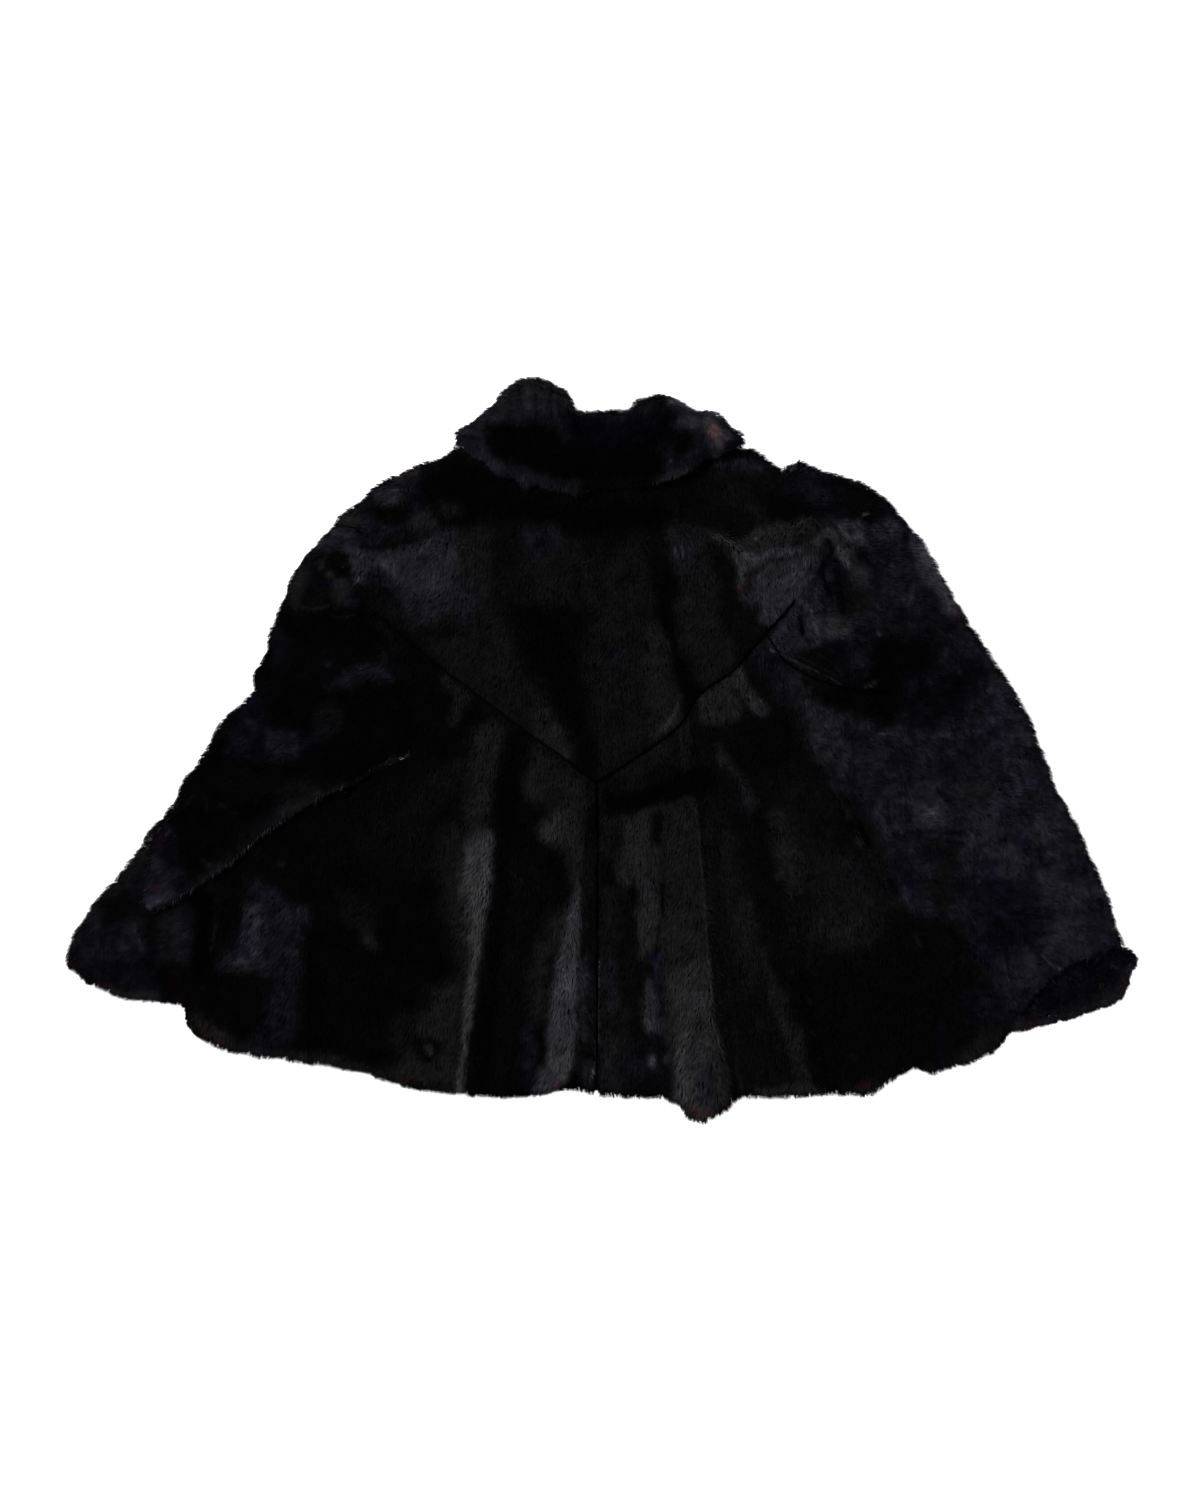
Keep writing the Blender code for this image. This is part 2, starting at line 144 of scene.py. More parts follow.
# The flared back has more cloth than the flat fronts under it, so it rises into folds that cross its seams.
# Each fold is a line down the back with the heights at its two ends and the reaches of its two sides. They
# run on over the shoulders and arms, so that the pieces still meet at their seams.
back_rest = 21.0
crown = (0.0, 60.0, 220.0, 150.0, 10.0)
Fold = namedtuple("Fold", "line start end left right open_end", defaults=(False,))
main_folds = [
    Fold([(-100, 45), (-92, 0), (-96, -99), (-106, -189), (-120, -312)], 4, 17, 38, 15, True),
    Fold([(-22, -90), (-20, -170), (-24, -306)], 4, 15, 30, 12, True),
    Fold([(82, -30), (90, -99), (94, -167), (101, -242), (108, -334)], 6, 20, 40, 14, True),
    Fold([(106, 6), (140, -56), (158, -130), (172, -200), (190, -312)], 5, 12, 26, 13, True),
    Fold([(-142, 205), (-130, 140), (-116, 60)], 5, 5, 48, 24),
    Fold([(-84, 190), (-62, 100), (-30, -5)], 5, 5, 46, 28),
    Fold([(34, 170), (48, 105), (62, 40)], 4, 5, 44, 22),
    Fold([(100, 180), (112, 140), (122, 95)], 4, 5, 36, 20),
    Fold([(104, 200), (130, 177), (185, 196), (236, 208)], 6, 6, 16, 22),
    Fold([(-163, 99), (-198, 76), (-235, 54)], 4, 4, 14, 14), Fold([(-262, 150)], 6, 6, 90, 90),
    Fold([(-296, 20)], 4, 4, 80, 80), Fold([(-296, -165)], 5, 5, 90, 90), Fold([(228, 226)], 8, 8, 70, 70),
    Fold([(238, 130)], 9, 9, 98, 98), Fold([(300, 120)], 5, 5, 80, 80), Fold([(390, -60)], 4, 4, 130, 130),
    Fold([(320, -150)], 4, 4, 150, 150), Fold([(-440, -160)], 3, 3, 65, 65),
]
small_folds = [
    # left shoulder: a dark crease above a smooth place, and the lumps of the gathered shoulder cap
    Fold([(-216, 182), (-182, 191), (-146, 201)], -5, -5, 8, 10), Fold([(-178, 224)], 5, 5, 22, 22),
    Fold([(-190, 211)], -5, -5, 13, 13), Fold([(-223, 188)], 6, 6, 22, 22),
    Fold([(-236, 168)], -5, -5, 13, 13), Fold([(-212, 152)], 4, 4, 18, 18), Fold([(-262, 176)], 4, 4, 20, 20),
    Fold([(-250, 128)], 4, 4, 24, 18), Fold([(-276, 96)], 4, 4, 22, 22), Fold([(-228, 110)], -4, -4, 18, 18),
    Fold([(-243, 58), (-215, 62), (-186, 70)], 4, 4, 8, 18), Fold([(-197, 84)], 3, 3, 10, 10),
    # yoke
    Fold([(-76, 128), (-72, 90), (-70, 48)], 3, 3, 40, 18),
    Fold([(-44, 222), (-10, 216), (40, 220)], -3, -3, 16, 16),
    Fold([(-108, 258), (-84, 248), (-56, 236), (-14, 232)], 6, 6, 9, 9),
    # right shoulder: a star of sharp ridges at the armhole, and lumps beyond its seam
    Fold([(93, 198), (112, 184), (130, 166)], 6, 7, 7, 10),
    Fold([(130, 166), (157, 178), (176, 184), (202, 195), (216, 205)], 7, 6, 8, 9),
    Fold([(131, 170), (127, 150), (122, 134)], 7, 5, 9, 8), Fold([(228, 178)], 7, 7, 19, 19),
    Fold([(258, 197)], 6, 6, 20, 20), Fold([(218, 102)], 6, 6, 15, 15), Fold([(238, 74)], 6, 6, 17, 17),
    Fold([(213, 160), (216, 138), (218, 116)], -7, -6, 8, 9), Fold([(178, 122), (179, 102)], -4, -4, 6, 6),
    Fold([(232, 212)], -7, -7, 17, 14), Fold([(322, 120)], 4, 4, 14, 14),
    Fold([(121, 68), (132, 50), (145, 32)], 5, 5, 9, 9), Fold([(268, 158)], 5, 5, 26, 26),
    Fold([(262, 108)], -5, -5, 24, 24), Fold([(186, 112)], 4, 4, 14, 14),
    # left of the middle of the back
    Fold([(-88, -28), (-64, -58)], -6, -6, 26, 26), Fold([(-14, -18), (-10, -70), (-16, -116)], 5, 4, 52, 9),
    Fold([(-134, -210), (-144, -260), (-150, -306)], 5, 7, 40, 13, True),
    Fold([(-158, -266)], -4, -4, 13, 13),
    # right of the middle
    Fold([(50, -40), (51, -110), (45, -176)], 4, 4, 42, 8), Fold([(51, -70)], -5, -5, 8, 8),
    Fold([(52, -118), (54, -154), (46, -190), (52, -244), (62, -292)], -4, -6, 8, 9, True),
    Fold([(30, -190), (34, -250), (36, -306)], 4, 6, 22, 12, True),
    Fold([(104, 2), (122, -28), (142, -58)], 4, 4, 8, 8),
    # right side and arm
    Fold([(214, -62), (240, -130), (252, -200)], 4, 5, 66, 18),
    Fold([(181, -14), (221, -54), (238, -84), (256, -116), (283, -171)], -4, -4, 9, 9),
    Fold([(410, -186), (382, -208)], 4, 4, 14, 10), Fold([(352, 40)], 4, 4, 40, 40),
    Fold([(340, -30)], -4, -4, 40, 40), Fold([(420, -140)], 4, 4, 36, 36), Fold([(346, -190)], 4, 4, 40, 40),
    # left side and hem
    Fold([(-262, -108), (-268, -152), (-266, -220), (-264, -288)], 6, 9, 62, 13, True),
    Fold([(-315, -222)], -6, -6, 22, 22), Fold([(-206, -118), (-198, -156), (-196, -194)], 5, 5, 38, 13),
    Fold([(-366, -146), (-364, -190)], 4, 4, 32, 14), Fold([(-410, -158), (-412, -184)], -4, -4, 8, 8),
]


def eased(share):
    """0 to 1, easing at both ends."""
    share = np.clip(share, 0.0, 1.0)
    return share * share * (3 - 2 * share)


def smooth_line(points):
    """The smooth curve through the points, as closer points."""
    keys = np.array(points, float)
    if len(keys) == 1:
        return keys
    keys = np.vstack((2 * keys[0] - keys[1], keys, 2 * keys[-1] - keys[-2]))
    t = np.linspace(0, 1, 6, endpoint=False)[:, None]
    spans = [0.5 * (2 * b + (c - a) * t + (2 * a - 5 * b + 4 * c - d) * t ** 2
                    + (3 * b - a - 3 * c + d) * t ** 3)
             for a, b, c, d in zip(keys, keys[1:], keys[2:], keys[3:])]
    return np.vstack((*spans, keys[-2]))


def beside(line, places):
    """How far each place is from the line, + on its right where it runs down the back, the share of the line
    down to there, and that length."""
    if len(line) == 1:
        far = np.linalg.norm(places - line[0], axis=1)
        return far, np.full(len(places), 0.5), np.zeros(len(places))
    best = np.full(len(places), np.inf)
    side, down, passed = np.ones(len(places)), np.zeros(len(places)), 0.0
    for start, end in zip(line, line[1:]):
        run = end - start
        length = np.linalg.norm(run)
        share = np.clip((places - start) @ run / length ** 2, 0, 1)
        gap = places - start - share[:, None] * run
        far = np.hypot(*gap.T)
        nearer = far < best
        best = np.where(nearer, far, best)
        side = np.where(nearer, np.where(run[0] * gap[:, 1] - run[1] * gap[:, 0] >= 0, 1, -1), side)
        down = np.where(nearer, passed + share * length, down)
        passed += length
    return best * side, down / passed, down


def around(places, corners, margin):
    """Which places lie in the box round the corners, widened by the margin."""
    return np.flatnonzero(((places > corners.min(0) - margin) & (places < corners.max(0) + margin)).all(1))


def raised(folds, places, fading=0.25):
    """How far the folds lift each place."""
    height = np.zeros(len(places))
    for fold in folds:
        line = smooth_line(fold.line)
        some = around(places, line, max(fold.left, fold.right))
        if not len(some):
            continue
        offset, share, _ = beside(line, places[some])
        lift = (fold.start + (fold.end - fold.start) * share) * eased(share / fading)
        if not fold.open_end:
            lift *= eased((1 - share) / fading)
        side = offset / np.where(offset > 0, fold.right, fold.left)
        height[some] += lift * 0.5 * (1 + np.cos(np.pi * np.clip(side, -1, 1)))
    return height


def clouds(places, size, seed):
    """Soft random values from -1 to 1, in patches of about that size."""
    grid = np.random.default_rng(seed).uniform(-1, 1, (256, 256))
    at = places / size + 80.3
    low = np.floor(at).astype(int)
    (x, y), (u, v) = low.T % 255, eased(at - low).T
    return ((grid[x, y] * (1 - u) + grid[x + 1, y] * u) * (1 - v)
            + (grid[x, y + 1] * (1 - u) + grid[x + 1, y + 1] * u) * v)


seams = [[(-203, 122), (-154, 81), (-118, 54), (-73, 20), (-37, -5), (-4, -30)],
         [(-4, -30), (35, -5), (71, 22), (89, 50), (118, 70), (136, 90), (148, 104), (162, 119), (174, 133)],
         [(-4, -30), (-3, -170), (-4, -308)], [(148, 104), (167, 78), (206, 58), (258, 50)]]
seam_depth = 1.6
seam_reach = 2.8


def to_seam(places):
    """How far each place is from the nearest seam that shows."""
    return np.min([np.abs(beside(smooth_line(seam), places)[0]) for seam in seams], 0)


def back_height(places, fine=True):
    """The upper face of the back's pile, with the small folds only if fine."""
    x, y, reach_x, reach_y, height = crown
    rise = height * np.exp(-((places[:, 0] - x) / reach_x) ** 2 - ((places[:, 1] - y) / reach_y) ** 2)
    rise += back_rest + raised(main_folds, places)
    if fine:
        rise += raised(small_folds, places, 0.45) - seam_depth * np.exp(-(to_seam(places) / seam_reach) ** 2)
        rise += 0.7 * clouds(places, 34, 1) + 0.4 * clouds(places, 15, 2)
    return rise


# The skin is a sheet of dressed pelt, soft and about 4 mm thick with its lining, cut to its pattern and sewn
# edge to edge. It is cut here from the outer face of the piece's solid, below the reach of its pile.
pile_depth, skin_thick = 4.5, 4.0
wall_lean = 0.05  # faces with a flatter normal than this are the solid's side walls
seam_gap = 1.0
hem_reach, hem_drop, hem_drop_reach = 20.0, 3.0, 7.0
tuck_in, tuck_down = 1.4, 1.6
lowest, wall_room, wall_room_reach = 0.5, 2.2, 10.0
# Places where a free edge is let out instead of drawn back: the collar's lower edge and a few corners
let_out = [(-122, 262), (116, 262), (165, 250), (-403, -76), (-88, 253), (-66, 244), (-44, 237), (-22, 233)]
let_out_reach = 14
# Where the outline leaves its smooth run: the place, the reach, and how far it moves in x and y
outline_moves = np.array([
    (-126, 280, 14, -5, 0), (124, 280, 12, 5, 1), (173, 258, 9, 1, 8.5), (296, 177, 16, 3, 4),
    (312, 148, 16, 3, 4), (326, 124, 12, 4, 4), (250, 232, 20, 1, 3), (-345, 20, 18, -4, 1),
    (-362, -5, 22, -7, 1), (-374, -35, 18, -6, 0), (-386, -56, 12, -4, -1), (-400, -66, 10, -4, -1),
    (-310, 67, 11, -3, 2), (-232, 212, 14, -3, 4), (-197, 241, 13, -1, 4), (-475, -168, 16, -3, -2),
    (-480, -190, 12, -2, -2), (-431, -222, 20, -2, -2), (-381, -232, 10, 4, 5), (-367, -250, 8, -2, -2),
    (-52, -310, 14, 0, -2), (84, -328, 13, -3, -4), (98, -334, 9, 0, 1), (114, -318, 9, 1, 0),
    (243, -309, 14, 2, -5), (282, -287, 9, -1, 3), (356, -267, 10, 3, -4), (473, -177, 12, 7.5, 0.5),
    (482, -195, 10, 0, -1), (400, -5, 25, -3, 0), (420, -45, 25, -3, 0), (440, -82, 20, -3, 1),
    (-70, 334, 12, 0, 2), (-20, 308, 8, 0, -3), (26, 310, 7, 0, -3), (83, 310, 11, -1, -3),
    (104, 300, 8, 1, 2), (-116, 297, 8, -1, 1), (46, 318, 8, 0, 2), (-126, 266, 8, -2, 3),
    (120, 262, 8, 2, 3), (-32, -308, 5, 1, 10), (385, -256, 26, -1, 2.5), (432, -238, 26, -1, 2.5),
    (285, 190, 14, 2, 2), (305, 162, 16, 3, 1.5), (-372, -24, 16, -3.5, 1.5), (-300, 108, 16, -2, 0.5),
    (-309, 72, 14, -2.5, 0.5), (-262, -283, 20, 0, -2.5), (-235, -284, 18, 0, -2.5), (300, -287, 14, 0, -2.5),
    (330, -282, 16, 0.5, -2.5), (-337, 27, 18, -2, 2.5), (-95, -311, 18, 0, -2), (-60, -311, 16, 0, -2),
    (38, -311, 14, 0, -2), (66, -318, 12, -1, -2), (-468, -155, 16, -1.5, 0.8), (-450, -130, 16, -1.2, 1),
    (243, -308, 12, 0, -4), (158, -313, 18, 0, -2), (0, -309, 10, 0, -3), (-168, 252, 16, -0.7, 2),
    (338, 104, 11, 2.3, 1.4), (117, 291, 10, -2, -2), (-36, 325, 10, 1.5, 1.8), (-395, -228, 9, 0, 2),
    (-156, -307, 14, 0, -1.5), (-376, -239, 7, 3, 0), (-136, 268, 8, 1.5, -2), (5, 305, 10, 0, 2),
    (-124, 291, 8, 1.8, -1.5), (-218, 223, 10, 1.2, -1.3), (-97, 312, 8, 1.5, -1.6), (276, -289, 9, 0, 1.8),
    (93, -336, 8, -1, 2), (80, -331, 8, -1, -1.5), (120, -314, 9, -4, 2), (-127, 288, 6, -0.5, 3),
    (-115, 297, 6, 1, -3), (-372, -25, 18, -2, 1), (244, -309, 12, 0, -2.5), (105, -329, 9, -1, 2),
    (292, 182, 12, 1.5, 1.5), (391, 13, 14, -1.8, -0.5), (173, 258, 9, 0.5, 3), (-306, 79, 14, -1.5, 0),
    (-129, -310, 12, 0, 1.5), (239, 238, 10, 0.8, 1.6), (-473, -202, 8, -1.5, -2), (-10, -308, 9, 0, -2),
    (444, -104, 10, -2, 0), (36, 311, 6, -1, 3), (22, 306, 6, 0, -1.5), (-30, 318, 8, 2, 2.5),
    (-20, 305, 7, -1, -2), (407, -246, 14, -0.5, 2), (480, -198, 12, -2, 1), (81, 309, 14, -0.8, -1.4),
    (374, -255, 13, 0, 1.6), (153, 258, 10, 0, 2.5), (172, 258, 9, 1, 2.5), (356, 77, 13, -1.6, -1),
    (-128, -310, 12, 0, 1.3), (-394, -228, 12, 0, 2), (459, -146, 12, 2, 0)], float)
# No lumps disturb the line along which the left arm folds over the back
drape_line = [(-167, 0), (-198, -14), (-229, -34), (-260, -49), (-293, -69), (-325, -99), (-362, -124),
              (-385, -138), (-406, -145), (-411, -130), (-407, -98), (-404, -72)]

wall_places = []
for name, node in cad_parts.items():
    for face in node.data.polygons:
        if abs(face.normal.z) < wall_lean:
            wall_places += [(node.data.vertices[i].co.copy(), name) for i in face.vertices]
wall_tree = KDTree(len(wall_places))
for i, (place, _) in enumerate(wall_places):
    wall_tree.insert(place, i)
wall_tree.balance()


def moved_outline(places):
    """Where each plan place goes when the outline gets its lumps and hollows. The whole cape moves as one."""
    far = np.hypot(places[:, :1] - outline_moves[:, 0], places[:, 1:2] - outline_moves[:, 1])
    moves = np.exp(-(far / outline_moves[:, 2]) ** 2) @ outline_moves[:, 3:]
    moves += 1.1 * np.stack((clouds(places, 13, 6), clouds(places, 13, 7)), 1)
    lumps = np.stack((clouds(places, 6, 8), clouds(places, 6, 9)), 1)
    return places + moves + lumps * eased(np.abs(beside(smooth_line(drape_line), places)[0]) / 15)[:, None]


suede, shader = new_finish("suede")
fine_grain = Node(Node.add("ShaderNodeTexNoise", Scale=900.0, Detail=3.0,
                           Vector=Node(Node.add("ShaderNodeTexCoord").outputs["Object"])).outputs["Fac"])
shade = Node.add("ShaderNodeMix", {"data_type": "RGBA"}, Factor=fine_grain,
                 i6=(0.0006, 0.0006, 0.0007, 1.0), i7=(0.0016, 0.0015, 0.0018, 1.0))
bump = Node.add("ShaderNodeBump", Strength=0.6, Distance=0.0006, Height=fine_grain)
Node.tree.links.new(shade.outputs[2], shader.inputs["Base Color"])
Node.tree.links.new(bump.outputs[0], shader.inputs["Normal"])
shader.inputs["Roughness"].default_value = 0.9
shader.inputs["Specular IOR Level"].default_value = 0.0

satin, shader = new_finish("lining_satin")
weave = Node(Node.add("ShaderNodeTexWave", {"bands_direction": "DIAGONAL"}, Scale=700.0, Distortion=1.5,
                      Vector=Node(Node.add("ShaderNodeTexCoord").outputs["Object"])).outputs["Fac"])
bump = Node.add("ShaderNodeBump", Strength=0.2, Distance=0.0002, Height=weave)
Node.tree.links.new((weave * 0.1 + 0.35).socket, shader.inputs["Roughness"])
Node.tree.links.new(bump.outputs[0], shader.inputs["Normal"])
shader.inputs["Base Color"].default_value = (0.003, 0.003, 0.0035, 1.0)
shader.inputs["Specular IOR Level"].default_value = 0.1

Skin = namedtuple("Skin", "object places normals triangles hem")


def outer_face(name, below):
    """The solid's face on one side, walls left off, with seam marking where it meets another piece."""
    bm = bmesh.new()
    bm.from_mesh(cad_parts[name].data)
    bmesh.ops.remove_doubles(bm, verts=bm.verts, dist=0.02 * mm)
    bm.normal_update()
    walls = {f for f in bm.faces if abs(f.normal.z) < wall_lean}
    start = (min if below else max)((f for f in bm.faces if f not in walls),
                                    key=lambda f: f.calc_center_median().z)
    kept, reached = {start}, [start]
    while reached:
        for edge in reached.pop().edges:
            for face in edge.link_faces:
                if face not in kept and face not in walls:
                    kept.add(face)
                    reached.append(face)
    bmesh.ops.delete(bm, geom=[f for f in bm.faces if f not in kept], context="FACES")
    bmesh.ops.delete(bm, geom=[v for v in bm.verts if not v.link_faces], context="VERTS")
    sewn = set()
    for vert in bm.verts:
        across = [place for place, i, _ in wall_tree.find_range(vert.co, seam_gap * mm)
                  if wall_places[i][1] != name]
        if vert.is_boundary and across:
            sewn.add(vert)
            vert.co = (vert.co + across[0]) / 2
    for edge in bm.edges:
        edge.seam = edge.is_boundary and all(v in sewn for v in edge.verts)
    return bm


def edge_directions(edges):
    """The plan direction into the piece at each edge vertex, and whether that edge is free, not sewn."""
    inward, free = [], []
    for vert in edges:
        into = sum((f.calc_center_median() - vert.co for f in vert.link_faces), Vector()).xy
        rims = sorted((e.seam, *(e.other_vert(vert).co - vert.co).xy.normalized())
                      for e in vert.link_edges if e.is_boundary)
        first, last = Vector(rims[0][1:]), Vector(rims[-1][1:])
        free.append(not rims[0][0])
        if rims[-1][0] and not rims[0][0]:
            across = last  # at a seam's end it draws back along the seam
        else:
            run = first - last if (first - last).length > 0.5 else first
            across = Vector((-run.y, run.x)).normalized()
        inward.append(across if across.dot(into) > 0 else -across)
    return inward, free


def draw_back(bm, edges, inward, free, below):
    """A free edge stands back from the reach of its pile and rolls down a little."""
    tree = KDTree(len(edges))
    for i, vert in enumerate(edges):
        if free[i]:
            tree.insert(vert.co, i)
    tree.balance()
    moves = []
    for vert in bm.verts:
        _, i, far = tree.find(vert.co)
        if i is not None and far < hem_reach * mm:
            moves.append((vert, inward[i], far / mm))
    for vert, into, far in moves:
        share = 1 - float(eased(far / hem_reach))
        share *= 1 - 2 * max(math.exp(-((vert.co.xy / mm - Vector(place)).length / let_out_reach) ** 2)
                             for place in let_out)
        vert.co.xy += into * (pile_depth - 1.0) * share * mm
        if not below:
            vert.co.z -= hem_drop * mm * max(0.0, 1 - far / hem_drop_reach) ** 2


def cut_skin(name, height, base, below):
    """The skin of one piece: its solid's upper face, or the lower if below, cut fine and set to height."""
    bm = outer_face(name, below)
    on_top = bm.verts.layers.float.new("on_top")
    plan = np.array([v.co.xy for v in bm.verts]) / mm
    for vert, rest in zip(bm.verts, height(plan, False)):
        vert[on_top] = float(abs(vert.co.z / mm - (base if below else rest)) < 0.7)
    corners = []
    for vert in bm.verts:
        rims = [e.other_vert(vert).co - vert.co for e in vert.link_edges if e.is_boundary]
        if len(rims) == 2 and rims[0].angle(-rims[1]) > math.radians(40):
            corners.append(vert.co.copy())
    bmesh.ops.subdivide_edges(bm, edges=bm.edges, cuts=5 if below else 3, use_grid_fill=True)
    bm.verts.ensure_lookup_table()

    # the cut edge runs smoothly between its corners
    rim = [v for v in bm.verts if v.is_boundary and all((v.co - c).length > 0.1 * mm for c in corners)]
    for _ in range(3):
        moved = [sum((e.other_vert(v).co for e in v.link_edges if e.is_boundary), Vector()) / 2 for v in rim]
        for vert, place in zip(rim, moved):
            vert.co = vert.co.lerp(place, 0.5)

    # the folds lift the top, and take the turned sides up with them
    places = np.array([v.co for v in bm.verts]) / mm
    top = eased(np.array([v[on_top] for v in bm.verts]))
    if not below:
        new, old = height(places[:, :2]), height(places[:, :2], False)
        stretched = base + (places[:, 2] - base) * (new - base) / (old - base)
        places[:, 2] = top * new + (1 - top) * stretched
        for vert, place in zip(bm.verts, places):
            vert.co.z = place[2] * mm
    sides = [v for v in bm.verts if v[on_top] < 0.9 and not v.is_boundary]
    for _ in range(4):
        bmesh.ops.smooth_vert(bm, verts=sides, factor=0.5, use_axis_x=True, use_axis_y=True, use_axis_z=True)

    # the skin lies under its pile, and a sewn edge turns down a little way under its neighbour
    edges = [v for v in bm.verts if v.is_boundary]
    inward, free = edge_directions(edges)
    draw_back(bm, edges, inward, free, below)
    bm.normal_update()
    straight = Vector((0, 0, -1 if below else 1))
    moved = []
    for vert, level in zip(bm.verts, top):
        out = vert.normal.lerp(straight, float(level)).normalized()
        moved.append(vert.co - out * pile_depth * mm + Vector((out.x, out.y, 0)) * mm)
    for vert, place in zip(bm.verts, moved):
        vert.co = place
    for vert, into, loose in zip(edges, inward, free):
        if not loose:
            vert.co += Vector((*(into * -tuck_in * mm), 0 if below else -tuck_down * mm))
    shifted = moved_outline(np.array([v.co.xy for v in bm.verts]) / mm) * mm
    for vert, place in zip(bm.verts, shifted):
        level = max(vert.co.z / mm, lowest)
        if not below:  # room for the wall of a turned side
            level += wall_room * max(0.0, 1 - level / wall_room_reach) ** 2
        vert.co = (*place, level * mm)
    bm.normal_update()
    bmesh.ops.triangulate(bm, faces=bm.faces)
    bm.verts.index_update()
    hem = [(e.verts[0].index, e.verts[1].index) for e in bm.edges if e.is_boundary and not e.seam]
    mesh = bpy.data.meshes.new(name + "_skin")
    bm.to_mesh(mesh)
    bm.free()
    mesh.shade_smooth()
    mesh.materials.append(suede)
    mesh.materials.append(satin)
    skin = bpy.data.objects.new(name + "_skin", mesh)
    bpy.context.scene.collection.objects.link(skin)
    wall = skin.modifiers.new("thickness", "SOLIDIFY")
    wall.thickness, wall.offset, wall.use_rim, wall.material_offset = skin_thick * mm, -1.0, True, 1
    places = np.array([v.co for v in mesh.vertices])
    normals = np.array([v.normal for v in mesh.vertices])
    triangles = np.array([f.vertices for f in mesh.polygons])
    return Skin(skin, places, normals, triangles, np.array(hem, int).reshape(-1, 2))


# The pile is sheared fur, dyed black: soft hairs about 8 mm long that lean down the cape in small tufts. It
# is warm black on the back and bluer on the sides, and its tips show a brown undertone where the hem is worn.
hair_long, hair_wide = 7.5, 0.8
tuft_size, tuft_pull = 3.2, 0.35
hem_hairs = 6  # for each mm of a free edge
turned_repeats, turned_width = 6, 0.9  # a turned-up hem shows its pile close and fine
under_share = 0.25  # hairs on a turned-under side, against those on top
warm_black, blue_black, violet = (0.0026, 0.0026, 0.0026), (0.00262, 0.0026, 0.0038), (0.0004, 0.0, 0.0008)
worn_tint = (1.85, 0.95, 0.93)

# How light the pile is painted, in stops over pile that lies plain. It is partly the nap's own tone and
# partly painted light: painted shade where the hairs stand up or lie in a hollow, and painted highlights and
# glints where they lie over and their sides face the lamp
hidden, sunk, shaded, dull, plain, faint, mild = -2.3, -1.6, -1.0, -0.4, 0.0, 0.3, 0.7
pale, light, bright, glossy, silvery, glinting = 1.1, 1.5, 2.1, 2.6, 3.5, 4.7
